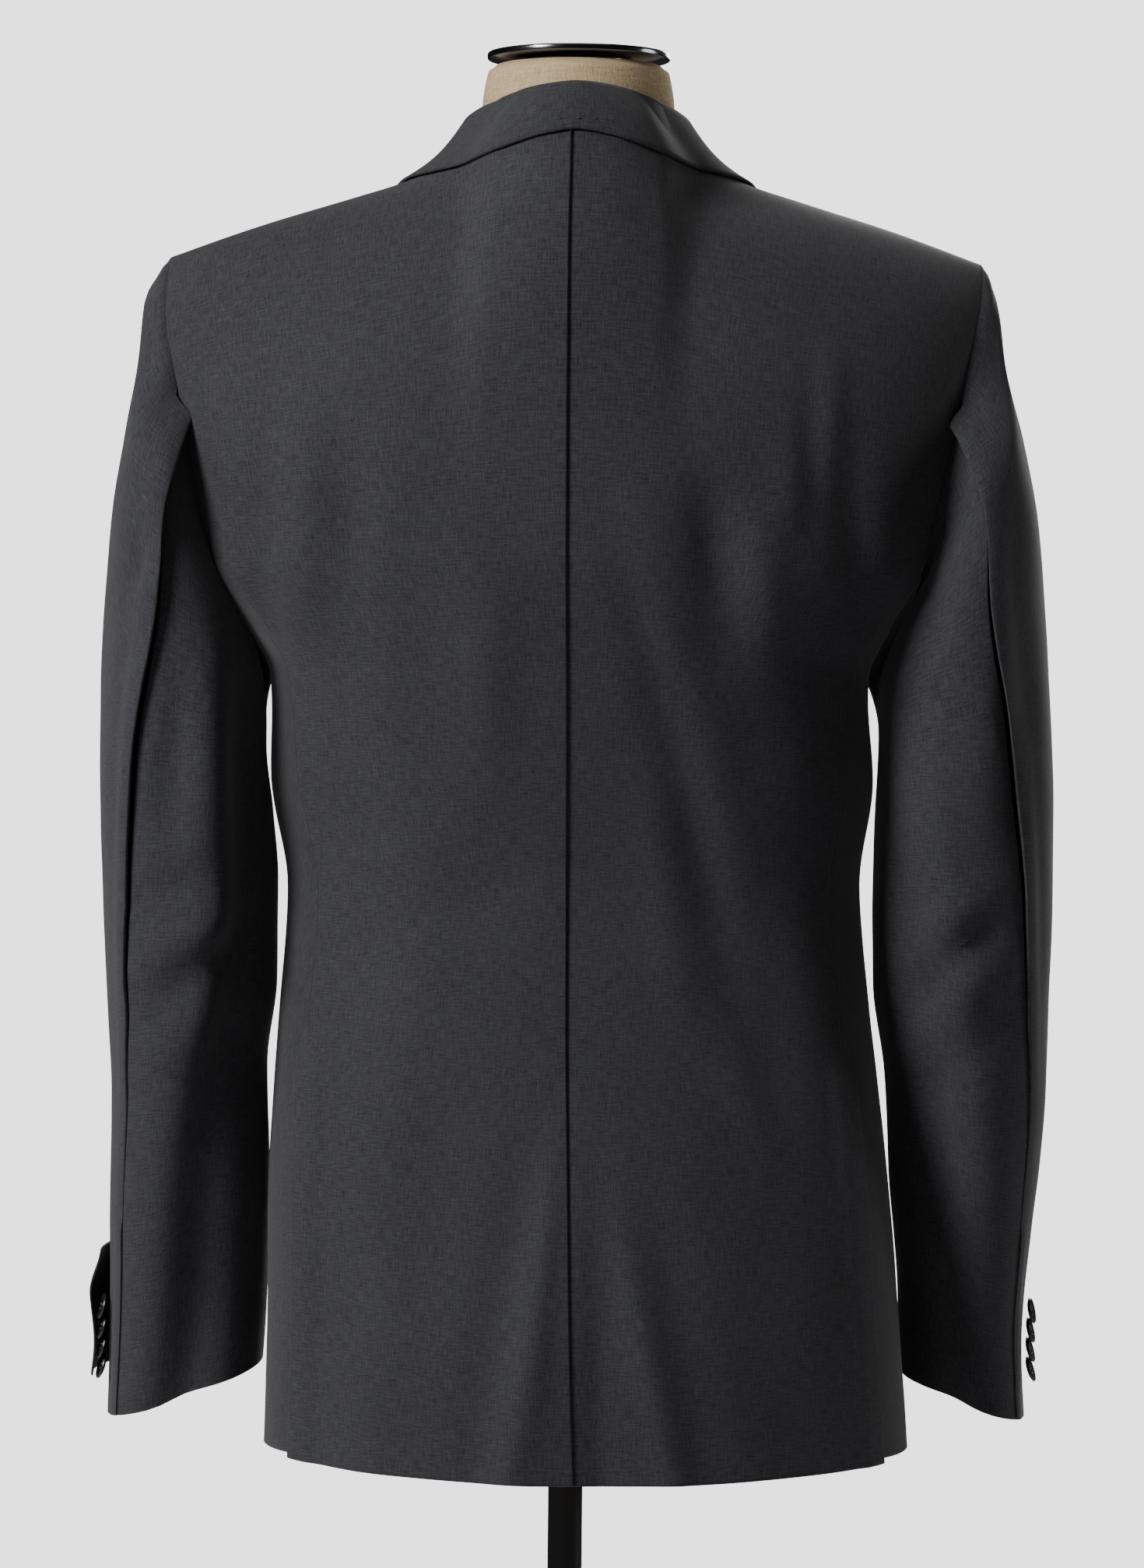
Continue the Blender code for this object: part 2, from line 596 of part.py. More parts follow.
def lathe(name, profile, material_name, y=0.0, steps=40):
    """A turned solid from (radius, height) points, the first and last of them on its axis."""
    around = np.arange(steps) * 2 * math.pi / steps
    rings = []
    for radius, height in profile[1:-1]:
        rings.append(points(radius * np.cos(around), y + radius * np.sin(around), height))
    ends = [(0.0, y, height) for _, height in (profile[0], profile[-1])]
    return stack(name, rings, ends, material_name)


# ---------------------------------------------------------------- the blazer's pieces
def name_of(side):
    return "left" if side > 0 else "right"


def make_trunk(side):
    """The back, side and front panels. Their normals agree along each seam, so that the
    walls on its two sides stay parallel."""
    grids = {"back": back_grid(side), "side": side_grid(side), "front": front_grid(side)}
    outward = {name: away_from(grid, trunk_core(grid)) for name, grid in grids.items()}
    low = len(LOW_ROWS)
    for panel, column in (("back", 0), ("front", -1)):
        edge = outward[panel][:low, -1] + outward["side"][:, column]
        outward[panel][:low, -1] = unit(edge)
        outward["side"][:, column] = unit(edge)
    neck = len(NECK_COLUMNS) - 1
    outward["back"][:, 0, 0] = 0.0
    outward["back"][-1, :neck] = outward["back"][-2, :neck]
    outward["back"][-1, neck:, 1] = 0.0
    outward["front"][-1, :, 1] = 0.0
    for name in grids:
        outward[name] = unit(outward[name])
    sewn = {"back": ("left", "right", "top"), "side": ("left", "right"), "front": ("right", "top")}
    for name, edges in sewn.items():
        shell(f"{name}_{name_of(side)}", inset(grids[name], edges), outward[name], "suiting")
    return grids, outward


def armhole_loop(grids, outward):
    """The armhole's corners from the tip down the back, under the arm and up the front,
    each with the cloth's normal and the direction that leaves the panel."""
    climb = len(OVER_ROWS)
    across = len(SIDE_COLUMNS)
    stops = [[("back", -1 - k, -1)] for k in range(climb)]
    stops += [[("side", -1, k)] for k in range(across)]
    stops += [[("front", -climb + k, -1)] for k in range(climb - 1)]
    stops[climb].append(("back", -1 - climb, -1))
    stops[climb + across - 1].append(("front", -1 - climb, -1))
    loop = []
    for stop in stops:
        leaves = []
        for panel, row, column in stop:
            grid = grids[panel]
            here = grid[row, column]
            normal = outward[panel][row, column]
            beside = grid[row - 1, column] if panel == "side" else grid[row, column - 1]
            leave = here - beside
            leaves.append(unit(leave - normal * leave.dot(normal)))
        loop.append((here, normal, unit(sum(leaves))))
    return loop


def tube_at(side, angle, z):
    """Point of the sleeve's tube at an angle from its outer side, its cuff tilted."""
    arm = name_of(side)
    outer = SLEEVE_AT["outer_" + arm](z)
    inner = SLEEVE_AT["inner_" + arm](z)
    behind = SLEEVE_AT["behind"](z)
    before = SLEEVE_AT["before"](z)
    cosine = np.cos(angle)
    sine = np.sin(angle)
    reach = (np.abs(cosine) ** SLEEVE_POWER + np.abs(sine) ** SLEEVE_POWER) ** (-1 / SLEEVE_POWER)
    out = (outer - inner) / 2 * reach * cosine
    back = (behind - before) / 2 * reach * sine
    lean = (out * CUFF_TILT[0] + back * CUFF_TILT[1]) * smooth(SLEEVE_FULL, CUFF, z)
    return points(side * ((outer + inner) / 2 + out), (behind + before) / 2 + back, z + lean)


def level_angle(y, z):
    """Angle round the sleeve's outer half at which the tube lies as far back as y."""
    behind = SLEEVE_AT["behind"](z)
    before = SLEEVE_AT["before"](z)
    share = (y - (behind + before) / 2) / ((behind - before) / 2)
    part = np.clip(np.abs(share), 0, 0.985) ** SLEEVE_POWER
    return np.sign(share) * np.arctan((part / (1 - part)) ** (1 / SLEEVE_POWER))


def sleeve_grid(side, loop):
    """Rows from the armhole to the cuff, columns all round from the tip over the back."""
    heads = np.array([corner[0] for corner in loop])
    middle = (heads.max(axis=0) + heads.min(axis=0)) / 2
    angle = np.unwrap(np.arctan2(heads[:, 1] - middle[1], heads[:, 2] - middle[2]))
    angle -= angle[0]
    start = heads + np.array([corner[2] for corner in loop]) * SEAM
    rows = []
    for row in CAP_ROWS:
        rows.append(cap_row(side, angle, start, heads, row))
    for row in TUBE_ROWS:
        z = SLEEVE_FULL + (CUFF - SLEEVE_FULL) * row
        rows.append(tube_at(side, turned(angle, z), np.full(len(angle), z)))
    grid = np.array(rows)
    return np.concatenate([grid, grid[:, :1]], axis=1)


def turned(angle, z):
    """Moves the columns round the tube so that the seams keep to their lines."""
    back = angle[BACK_SEAM_ROW]
    front = angle[FRONT_SEAM_ROW]
    new_back = np.radians(BACK_SEAM_AT(z))
    new_front = math.radians(FRONT_SEAM_ANGLE)
    full = 2 * math.pi
    known = (front - full, back, front, back + full)
    moved = (new_front - full, new_back, new_front, new_back + full)
    return np.interp(angle, known, moved)


def cap_row(side, angle, start, heads, row):
    """A row near the armhole: it leaves the seam and swells out to the tube."""
    height = heads[:, 2]
    z = height + (SLEEVE_FULL - height) * row
    spread = 0.020 + 0.028 * smooth(0.0, 0.10, height.max() - height)
    leave = np.clip((height - z) / spread, 0, 1)
    swell = (1 - (1 - leave) ** 2.4)[:, None]
    around = np.array([turned(angle, value)[k] for k, value in enumerate(z)])
    level = level_angle(heads[:, 1], z)
    level += 2 * math.pi * np.round((around - level) / (2 * math.pi))
    keep = smooth(1.355, 1.405, height) * (1 - smooth(0.0, 0.8, row))
    around = around + (level - around) * keep
    full = np.array([tube_at(side, a, value) for a, value in zip(around, z)])
    drop = (z - height)[:, None] * (1 - swell) * (0, 0, 1)
    return start + (full - start) * swell + drop


def make_sleeve(side, loop):
    """The top and under sleeve, cut along the two seams of one tube."""
    grid = sleeve_grid(side, loop)
    outward = away_from(grid, grid.mean(axis=1, keepdims=True))
    outward[:, 0] = unit(outward[:, 0] + outward[:, -1])
    outward[:, -1] = outward[:, 0]
    outward[0, :-1] = [corner[1] for corner in loop]
    outward[0, -1] = outward[0, 0]
    count = len(loop)
    under = np.arange(BACK_SEAM_ROW, FRONT_SEAM_ROW + 1)
    upper = np.arange(FRONT_SEAM_ROW, BACK_SEAM_ROW + count + 1) % count
    for part, columns in (("under", under), ("top", upper)):
        cloth = inset(grid[:, columns], ("left", "right"))
        shell(f"sleeve_{part}_{name_of(side)}", cloth, outward[:, columns], "suiting")


def collar_column(side, station):
    """One section of the collar, from its seam over the roll to the end of its fall."""
    read = {name: float(COLLAR_AT[name](station)) for name in COLLAR_COLUMNS[1:]}
    if station <= 1:
        x = float(np.interp(station * 5, range(6), NECK_COLUMNS))
        seam = place(side, x, RIDGE_AT["y"](x), RIDGE_AT["z"](x))
    else:
        ridge_z = float(RIDGE_AT["z"](NECK_SIDE))
        z = ridge_z + (GORGE - ridge_z) * (station - 1)
        seam = front_at(side, float(front_edge(z)), z)
    rise = np.array((side * read["rise_x"], read["rise_y"], read["rise_z"]))
    roll = seam + rise
    end = shoulder_at(side, read["fall_x"], read["fall_angle"])
    ahead = shoulder_at(side, read["fall_x"] + 0.004, read["fall_angle"])
    above = shoulder_at(side, read["fall_x"], read["fall_angle"] - 4)
    lift = unit(np.cross(ahead - end, above - end))
    if lift.dot(end - (0, 0, 1.30)) < 0:
        lift = -lift
    end = end + lift * (WALL + LAYER)
    up = unit(rise)
    out = end - roll
    out = unit(out - up * out.dot(up))
    turn_start = roll - up * CREASE * 0.9
    path = [seam + up * COLLAR_START, (seam + up * COLLAR_START + turn_start) / 2]
    for degrees in (0, 60, 120):
        a = math.radians(degrees)
        path.append(turn_start + (out * (1 - math.cos(a)) + up * math.sin(a)) * CREASE)
    for share in (0.33, 0.66, 1.0):
        bulge = lift * read["swell"] * math.sin(math.pi * share) if share < 1 else 0
        path.append(path[4] + (end - path[4]) * share + bulge)
    return path


def make_collar():
    """The collar all round the neck, from one gorge to the other."""
    stations = [2.0, 1.86, 1.6, 1.3, 1.0, 0.8, 0.6, 0.4, 0.2]
    columns = [collar_column(1, s) for s in stations]
    columns.append(collar_column(1, 0.0))
    columns += [collar_column(-1, s) for s in reversed(stations)]
    grid = np.array(columns).transpose(1, 0, 2)
    outward = normals(grid)
    middle = grid[-2, grid.shape[1] // 2]
    if outward[-2, grid.shape[1] // 2].dot(middle - (0, 0, 1.40)) < 0:
        outward = -outward
    shell("collar", grid, outward, "suiting")


def make_lapel(side):
    """The turned-over top of a front, lying on it outside the roll line."""
    rows = []
    alongs = np.linspace(0, 1, 9)
    for along in alongs:
        inner_z = BREAK + (GORGE - BREAK) * along
        inner_x = float(front_edge(inner_z))
        outer_x = float(LAPEL_AT["x"](along))
        outer_z = float(LAPEL_AT["z"](along))
        row = []
        for share in (0.0, 0.10, 0.34, 0.67, 1.0):
            x = inner_x + (outer_x - inner_x) * share
            z = inner_z + (outer_z - inner_z) * share
            row.append(front_at(side, x, z))
        rows.append(row)
    grid = np.array(rows)
    outward = away_from(grid, trunk_core(grid))
    proud = np.array((0.0, 0.0030, 0.0032, 0.0012, 0.0)) * smooth(0.25, 0.7, alongs)[:, None]
    lifted = grid + outward * (WALL + LAYER + proud)[..., None]
    shell("lapel_" + name_of(side), inset(lifted, ("top",), GORGE_GAP), outward, "suiting")


def make_flap(side):
    """The flap of a hip pocket, standing off a little toward its lower edge."""
    rows = []
    for drop, flare in ((0.0, 0.0), (0.5, 0.4), (1.0, 1.0)):
        row = []
        for share in np.linspace(0, 1, 8):
            angle = math.radians(FLAP_ANGLES[0] + (FLAP_ANGLES[1] - FLAP_ANGLES[0]) * share)
            z = FLAP_TOP[0] + (FLAP_TOP[1] - FLAP_TOP[0]) * share - FLAP_DEPTH * drop
            x, y = section(angle, z)
            off = WALL + LAYER + FLAP_FLARE * flare
            x = x + off * math.sin(angle)
            row.append(place(side, x, y + off * math.cos(angle), z))
        rows.append(row)
    grid = np.array(rows)
    shell("pocket_flap_" + name_of(side), grid, away_from(grid, trunk_core(grid)), "suiting")


def button(name, size, centre, facing):
    """A turned button with a raised rim, its face looking along a direction."""
    radius, thick = size
    profile = [
        (0, 0), (radius * 0.62, 0), (radius * 0.97, thick * 0.42), (radius, thick * 0.62),
        (radius * 0.90, thick), (radius * 0.72, thick * 0.84), (0, thick * 0.80),
    ]
    made = lathe(name, profile, "horn_button", steps=20)
    made.rotation_mode = "QUATERNION"
    made.rotation_quaternion = Vector(facing).to_track_quat("Z", "Y")
    made.location = centre


def make_cuff_buttons(side):
    """Four buttons up the cuff vent, each tilted so that it laps over the one below."""
    lean = math.radians(CUFF_BUTTON_LEAN)
    for k in range(4):
        z = CUFF_BUTTON_TOP - k * CUFF_BUTTON_PITCH
        angle = BACK_SEAM_AT(z) - CUFF_BUTTON_TURN
        here = tube_at(side, math.radians(angle), z)
        beside = tube_at(side, math.radians(angle + 4), z)
        above = tube_at(side, math.radians(angle), z + 0.01)
        out = unit(np.cross(beside - here, above - here))
        if out[0] * side < 0:
            out = -out
        face = out * math.cos(lean) + unit(above - here) * math.sin(lean)
        centre = here + out * (CUFF_BUTTON_LIFT + CUFF_BUTTON[0] * math.sin(lean))
        button(f"cuff_button_{name_of(side)}_{k + 1}", CUFF_BUTTON, centre, face)


def make_front_buttons():
    for number, z in enumerate(FRONT_BUTTON_HEIGHTS, 1):
        centre = front_at(1, 0.0, z) - (0, FRONT_BUTTON_LIFT, 0)
        button(f"front_button_{number}", FRONT_BUTTON, centre, (0, -1, 0))


def make_label():
    """The bare label on the left cuff, sewn at its front edge and standing off in a wave."""
    top, bottom = LABEL_HEIGHTS
    rows = []
    for z in np.linspace(top, bottom, 7):
        row = []
        for share in np.linspace(0, 1, 6):
            angle = math.radians(LABEL_ANGLES[0] + (LABEL_ANGLES[1] - LABEL_ANGLES[0]) * share)
            here = tube_at(1, angle, z)
            out = unit((here - tube_at(1, angle + math.pi, z)) * (1, 1, 0))
            wave = LABEL_WAVE * math.sin((top - z) / (top - bottom) * 2 * math.pi) * share
            lift = LABEL_LIFT[1] * (1 - LABEL_LOW_TOP * (1 - smooth(0, LABEL_RISE, top - z)))
            row.append(here + out * (LABEL_LIFT[0] + lift * smooth(0, 0.75, share) + wave))
        rows.append(row)
    grid = np.array(rows)
    outward = away_from(grid, np.array((0.21, -0.04, 0.87)))
    shell("cuff_label_left", grid, outward, "label_cloth", LABEL_WALL)


# ---------------------------------------------------------------- the dress form and stand
def dome(x, y, half_width):
    """The form's shoulders over a point of its plan: the widened x, and the height."""
    ridge_y = np.minimum(RIDGE_AT["y"](np.abs(x)), NECK_AXIS)
    inner = np.abs(x) * 0.93
    behind = y > ridge_y
    edge = np.where(behind, depth_at(inner, BACK_TOP, True), depth_at(inner, FRONT_TOP, False))
    edge = edge - FORM_INSET * np.sign(edge)
    share_y = np.clip((y - ridge_y) / (edge - ridge_y), 0, 1)
    share_x = np.clip(np.abs(x) / half_width, 0, 1)
    power = RIDGE_AT["power"](np.maximum(np.abs(x), NECK_SIDE))
    rise = (1 - share_y**power) ** (1 / power) * (1 - share_x**9) ** (1 / 9)
    wide = x * (1 + 0.12 * smooth(0, 0.8, rise))
    slope = np.abs(wide)
    ridge_z = np.where(slope < NECK_SIDE, 1.5030 + (NECK_SIDE - slope) * 0.2, RIDGE_AT["z"](slope))
    ridge_z = ridge_z - np.where(behind, 0.0035, 0.0070) * (1 - smooth(NECK_SIDE, 0.115, slope))
    return wide, FORM_CHEST + (ridge_z - WALL - FORM_GAP - FORM_CHEST) * rise


def make_form():
    """The form's trunk, shoulders and neck as one closed skin of rings."""
    steps = 40
    angle = np.radians(np.arange(steps) * 360 / steps)
    rings = []
    for z in (FORM_BOTTOM, 0.815, 0.88, 0.95, 1.02, 1.08, 1.13, 1.18, 1.22):
        x, y = section(angle, min(z, FORM_FULL), FORM_INSET)
        pull = 0.985 if z == FORM_BOTTOM else 1.0
        rings.append(points(BODY_AT["shift"](z) + x * pull, y * pull, z))
    base_x, base_y = section(angle, FORM_FULL, FORM_INSET)
    base_x = base_x * 1.05
    half_width = np.abs(base_x).max() * 1.001
    neck_x = FORM_NECK[0] * np.sin(angle)
    neck_y = NECK_AXIS + FORM_NECK[1] * np.cos(angle)
    for turn in (4, 14, 25, 36, 48, 60, 72, 82, 90):
        move = 1 - math.cos(math.radians(turn))
        x = base_x + (neck_x - base_x) * move
        y = base_y + (neck_y - base_y) * move
        x, z = dome(x, y, half_width)
        rings.append(points(BODY_AT["shift"](1.26) * (1 - move) + x, y, z))
    for radius, z in FORM_NECK_RINGS:
        rings.append(points(radius * np.sin(angle), NECK_AXIS + radius * np.cos(angle), z))
    ends = [ring.mean(axis=0) for ring in (rings[0], rings[-1])]
    stack("form_torso", rings, ends, "linen", 60)


def make_stand():
    """The cap over the form's neck, the pole under it and the round base."""
    low = NECK_TOP + SEAM
    rim = NECK_TOP + CAP_RECESS
    top = rim + CAP_RIM
    cap = [
        (0, low), (CAP_FOOT, low), (CAP_FOOT, rim), (CAP_RADIUS - 0.0006, rim),
        (CAP_RADIUS, rim + 0.0006), (CAP_RADIUS, top - 0.0008), (CAP_RADIUS - 0.0008, top),
        (CAP_FOOT, top + 0.002), (0, top + 0.003),
    ]
    lathe("neck_cap", cap, "dark_chrome", NECK_AXIS)
    hub = BASE_THICK + HUB_HEIGHT
    base = [
        (0, 0), (BASE_RADIUS - 0.001, 0), (BASE_RADIUS, 0.001), (BASE_RADIUS, BASE_THICK - 0.002),
        (BASE_RADIUS - 0.002, BASE_THICK), (HUB_RADIUS, BASE_THICK), (HUB_RADIUS, hub - 0.002),
        (HUB_RADIUS - 0.002, hub), (0, hub),
    ]
    lathe("stand_base", base, "black_steel", steps=64)
    foot = hub + SEAM
    head = FORM_BOTTOM - SEAM
    pole = [(0, foot), (POLE_RADIUS, foot), (POLE_RADIUS, head), (0, head)]
    lathe("stand_pole", pole, "black_steel", steps=24)


def main():
    for old in list(bpy.data.objects):
        bpy.data.objects.remove(old, do_unlink=True)
    for side in (1, -1):
        make_sleeve(side, armhole_loop(*make_trunk(side)))
        make_lapel(side)
        make_flap(side)
        make_cuff_buttons(side)
    make_collar()
    make_label()
    make_front_buttons()
    make_form()
    make_stand()


main()
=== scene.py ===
"""A charcoal wool blazer with two side vents on a linen dress form, seen from behind.

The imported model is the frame: every panel here repeats its shape with a finer grid, and
adds soft folds, seams, stitches and finishes. Metres, +Z up, the wearer's left is +X.
"""

import math

import bmesh
import bpy
import numpy as np
from mathutils import Matrix, Vector


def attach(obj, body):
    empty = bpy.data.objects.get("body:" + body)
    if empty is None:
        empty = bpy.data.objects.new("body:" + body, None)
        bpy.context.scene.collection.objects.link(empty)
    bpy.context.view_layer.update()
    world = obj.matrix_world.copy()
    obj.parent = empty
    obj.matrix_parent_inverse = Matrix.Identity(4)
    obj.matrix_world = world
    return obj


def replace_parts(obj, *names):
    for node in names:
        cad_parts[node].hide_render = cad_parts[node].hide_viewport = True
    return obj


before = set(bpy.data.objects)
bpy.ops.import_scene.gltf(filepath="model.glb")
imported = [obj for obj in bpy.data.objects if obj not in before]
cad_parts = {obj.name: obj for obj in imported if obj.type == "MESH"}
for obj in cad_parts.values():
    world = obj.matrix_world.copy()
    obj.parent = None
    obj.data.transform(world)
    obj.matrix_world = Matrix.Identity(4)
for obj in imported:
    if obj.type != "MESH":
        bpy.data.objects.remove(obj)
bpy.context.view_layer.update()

bl_info = {
    "name": "Tailored Blazer",
    "version": (1, 0, 0),
    "blender": (4, 5, 0),
    "location": "View3D > Sidebar > Blazer",
    "description": "Builds a wool blazer on a dress form round its solid model",
    "category": "Object",
}

# ---------------------------------------------------------------- driving dimensions
WALL = 0.0016  # thickness of every cloth piece, with its hem or seam allowance
SEAM = 0.0004  # gap between pieces that are sewn edge to edge
LAYER = 0.0011  # air under a piece that lies on another one
CREASE = 0.0030  # radius of a soft fold-over, such as the collar's
COLLAR_START = 0.0036  # from the neckline's seam to the collar's lower edge, for its wall

BACK_TOP = 1.277  # height where the back armhole meets the side-back seam
FRONT_TOP = 1.262  # height where the front armhole meets the side-front seam
UNDERARM = 1.215  # lowest point of the armhole
BACK_SEAM_TURN = 1.200  # above this the side-back seam turns to the armhole's corner
FRONT_SEAM_TURN = 1.150  # above this the side-front seam does
SHOULDER_TIP = 0.227  # half the shoulder width
NECK_SIDE = 0.068  # from the centre to where neckline and shoulder seam meet
BREAK = 1.136  # height where the lapel starts to turn
GORGE = 1.447  # height where the lapel's top edge leaves the roll line
GORGE_GAP = 0.0010  # between the lapel's top edge and the collar's end
FRONT_LAP = 0.020  # how far each front passes the centre line
FRONT_UNDER = 0.0058  # how far the right front lies behind the left one along the lap
LAP_EASE = (0.022, 0.052)  # it comes forward again between these distances from the centre
CUTAWAY_TOP = 0.940  # where the rounded lower front corner starts
CUTAWAY = 0.078  # how far that corner draws back from the front edge
CUTAWAY_ROUND = 0.985  # how nearly it is a full quarter round
BACK_HEM = 0.7805
BACK_HEM_RISE = 0.0060  # how much higher the back hem is at the vents
SIDE_HEM = 0.7890
FRONT_HEM = 0.7860
FRONT_HEM_RISE = 0.0030
VENT_TOP = 1.000
VENT_LAP = 0.008  # how far the back panel laps over the side panel along the vent
VENT_RUN = 0.010  # half the height over which that lap begins
VENT_STEP = 0.0023  # how far the back panel stands off the side panel along the vent
VENT_SET = 0.006  # from the seam to where that step starts on the back panel
SLEEVE_FULL = 1.165  # below this the sleeve is one full tube
CUFF = 0.8155  # middle height of the cuff's edge

FORM_INSET = 0.010  # the dress form is this much smaller than the cloth round the trunk
FORM_GAP = 0.0010  # from the form's shoulders to the cloth that rests on them
FORM_CHEST = 1.255  # where the form's trunk starts to round over into its shoulders
FORM_BOTTOM = 0.800
FORM_FULL = 1.200  # above this the form keeps one section up to its shoulders
FORM_NECK = (0.0570, 0.0580)  # half its neck's width and depth where the shoulders meet it
NECK_AXIS = 0.004  # how far behind the origin the form's neck stands
NECK_TOP = 1.5562
FORM_NECK_RINGS = ((0.0545, 1.516), (0.0535, 1.536), (0.0500, NECK_TOP))
FORM_HEIGHTS = (FORM_BOTTOM, 0.803, 0.815, 0.88, 0.95, 1.02, 1.08, 1.13, 1.18, 1.22)
FORM_TURNS = (4, 14, 25, 36, 48, 60, 72, 82, 90)  # its rings over the shoulders, in degrees
FORM_FOOT = 0.015  # share by which its lower rim draws in
FORM_FOOT_TOP = 0.806
FORM_SHOULDERS = 1.05  # how much wider than the trunk they start
FORM_SQUARE = 9  # how square they end
FORM_WIDEN = 0.12  # how much wider each ring gets toward the ridge
FORM_HOLLOW = (0.0035, 0.0070)  # how far it sinks beside the neck, behind and before
FORM_HOLLOW_END = 0.115
FORM_NECK_FOOT = 1.5030  # height where the neck starts to rise
FORM_NECK_SLOPE = 0.2
NECK_ROUND = 0.004  # at its top
CAP_RADIUS = 0.0511
CAP_RIM = 0.0038
CAP_RECESS = 0.0035  # the cap stands on a narrower foot of this height
CAP_FOOT = 0.030
CAP_CROWN = (0.002, 0.003)  # rise of its top over the rim, at the foot's width and the middle
CAP_ROUND = 0.0012
POLE_RADIUS = 0.0096
POLE_ROUND = 0.0008
BASE_RADIUS = 0.190
BASE_THICK = 0.008
BASE_ROUND = 0.0020
HUB_RADIUS = 0.022
HUB_HEIGHT = 0.030

CUFF_BUTTON = (0.0075, 0.0026)  # radius, thickness
FRONT_BUTTON = (0.0100, 0.0034)
CUFF_BUTTON_PITCH = 0.0112
CUFF_BUTTON_TOP = 0.8755
CUFF_BUTTON_TURN = 24.0  # degrees round the sleeve from the back seam to the buttons
CUFF_BUTTON_LEAN = 17.0  # degrees that each one tips over its neighbour
CUFF_BUTTON_LIFT = 0.0012
FRONT_BUTTON_LIFT = 0.0010
FRONT_BUTTON_HEIGHTS = (1.120, 1.020)

LABEL_WALL = 0.0008
LABEL_HEIGHTS = (0.9050, 0.8370)  # its top and bottom edge
LABEL_ANGLES = (-48.0, 14.0)  # its sewn edge and its free edge, round the sleeve
LABEL_LIFT = (0.0018, 0.0085)  # off the sleeve at the sewn edge, and how much more beyond it
LABEL_LOW_TOP = 0.60  # share of that lift which is missing at its top edge
LABEL_RISE = 0.024  # from there down to the full lift
LABEL_WAVE = 0.0014
LABEL_SPREAD = 0.75  # share of its width over which it comes off the sleeve
LABEL_INSIDE = (0.21, -0.04, 0.87)  # a point in the sleeve behind the label

# ---------------------------------------------------------------- tables
# Horizontal sections of the trunk, one row per height. Half width, depth behind and before
# the side line, how square each half is, the angle from the centre back to each seam, the
# sideways shift of the whole section, and where the centre back seam runs.
BODY_COLUMNS = (
    "z", "half_width", "back", "front", "back_power", "front_power",
    "seam_back", "seam_front", "shift", "centre_back",
)
BODY = [
    (0.780, 0.1803, 0.143, 0.140, 2.25, 2.30, 63.5, 113.0, -0.0113, -0.0036),
    (0.850, 0.1766, 0.138, 0.134, 2.25, 2.30, 63.8, 113.0, -0.0092, -0.0010),
    (0.940, 0.1726, 0.125, 0.125, 2.30, 2.30, 65.3, 113.0, -0.0057, 0.0010),
    (1.030, 0.1650, 0.108, 0.117, 2.30, 2.30, 67.8, 113.0, -0.0026, 0.0026),
    (1.100, 0.1597, 0.100, 0.112, 2.30, 2.30, 68.5, 113.0, -0.0015, 0.0030),
    (1.160, 0.1680, 0.108, 0.116, 2.30, 2.30, 69.5, 112.0, 0.0000, 0.0034),
    (1.200, 0.1665, 0.114, 0.120, 2.30, 2.30, 70.5, 111.0, 0.0015, 0.0038),
    (1.217, 0.1672, 0.1165, 0.121, 2.30, 2.30, 71.0, 110.5, 0.0020, 0.0040),
    (1.244, 0.1830, 0.1195, 0.122, 2.30, 2.30, 71.5, 109.0, 0.0028, 0.0044),
    (1.277, 0.2050, 0.122, 0.122, 2.30, 2.30, 75.0, 107.0, 0.0035, 0.0048),
    (1.400, 0.2150, 0.122, 0.122, 2.30, 2.30, 75.0, 107.0, 0.0035, 0.0053),
    (1.449, 0.2270, 0.122, 0.122, 2.30, 2.30, 75.0, 107.0, 0.0005, 0.0052),
    (1.520, 0.2270, 0.122, 0.122, 2.30, 2.30, 75.0, 107.0, 0.0005, 0.0043),
]

# The line over the top, from the centre back along the neckline to the neck side, then
# along the shoulder seam to the tip. The power rounds the cloth between it and the chest.
RIDGE_COLUMNS = ("x", "y", "z", "power")
RIDGE = [
    (0.0000, 0.0775, 1.5190, 1.50),
    (0.0200, 0.0740, 1.5182, 1.50),
    (0.0450, 0.0560, 1.5130, 1.60),
    (0.0680, 0.0120, 1.5030, 1.80),
    (0.0970, 0.0040, 1.4905, 1.95),
    (0.1236, 0.0000, 1.4824, 2.00),
    (0.1783, -0.0060, 1.4660, 2.00),
    (0.2270, -0.0100, 1.4490, 2.00),
]

# How far out the armhole edge of each panel lies, by height.
ARMHOLE_COLUMNS = ("z", "back", "front")
ARMHOLE = [
    (1.262, 0.1900, 0.1800),
    (1.277, 0.1948, 0.1835),
    (1.300, 0.2004, 0.1880),
    (1.350, 0.2120, 0.1950),
    (1.385, 0.2193, 0.2040),
    (1.409, 0.2245, 0.2130),
    (1.430, 0.2268, 0.2220),
    (1.449, 0.2270, 0.2270),
]

# Lower edge of the armhole across the side panel, from its back seam to its front seam.
UNDERARM_EDGE = [(0.0, BACK_TOP), (0.30, 1.232), (0.58, UNDERARM), (0.82, 1.228), (1.0, FRONT_TOP)]

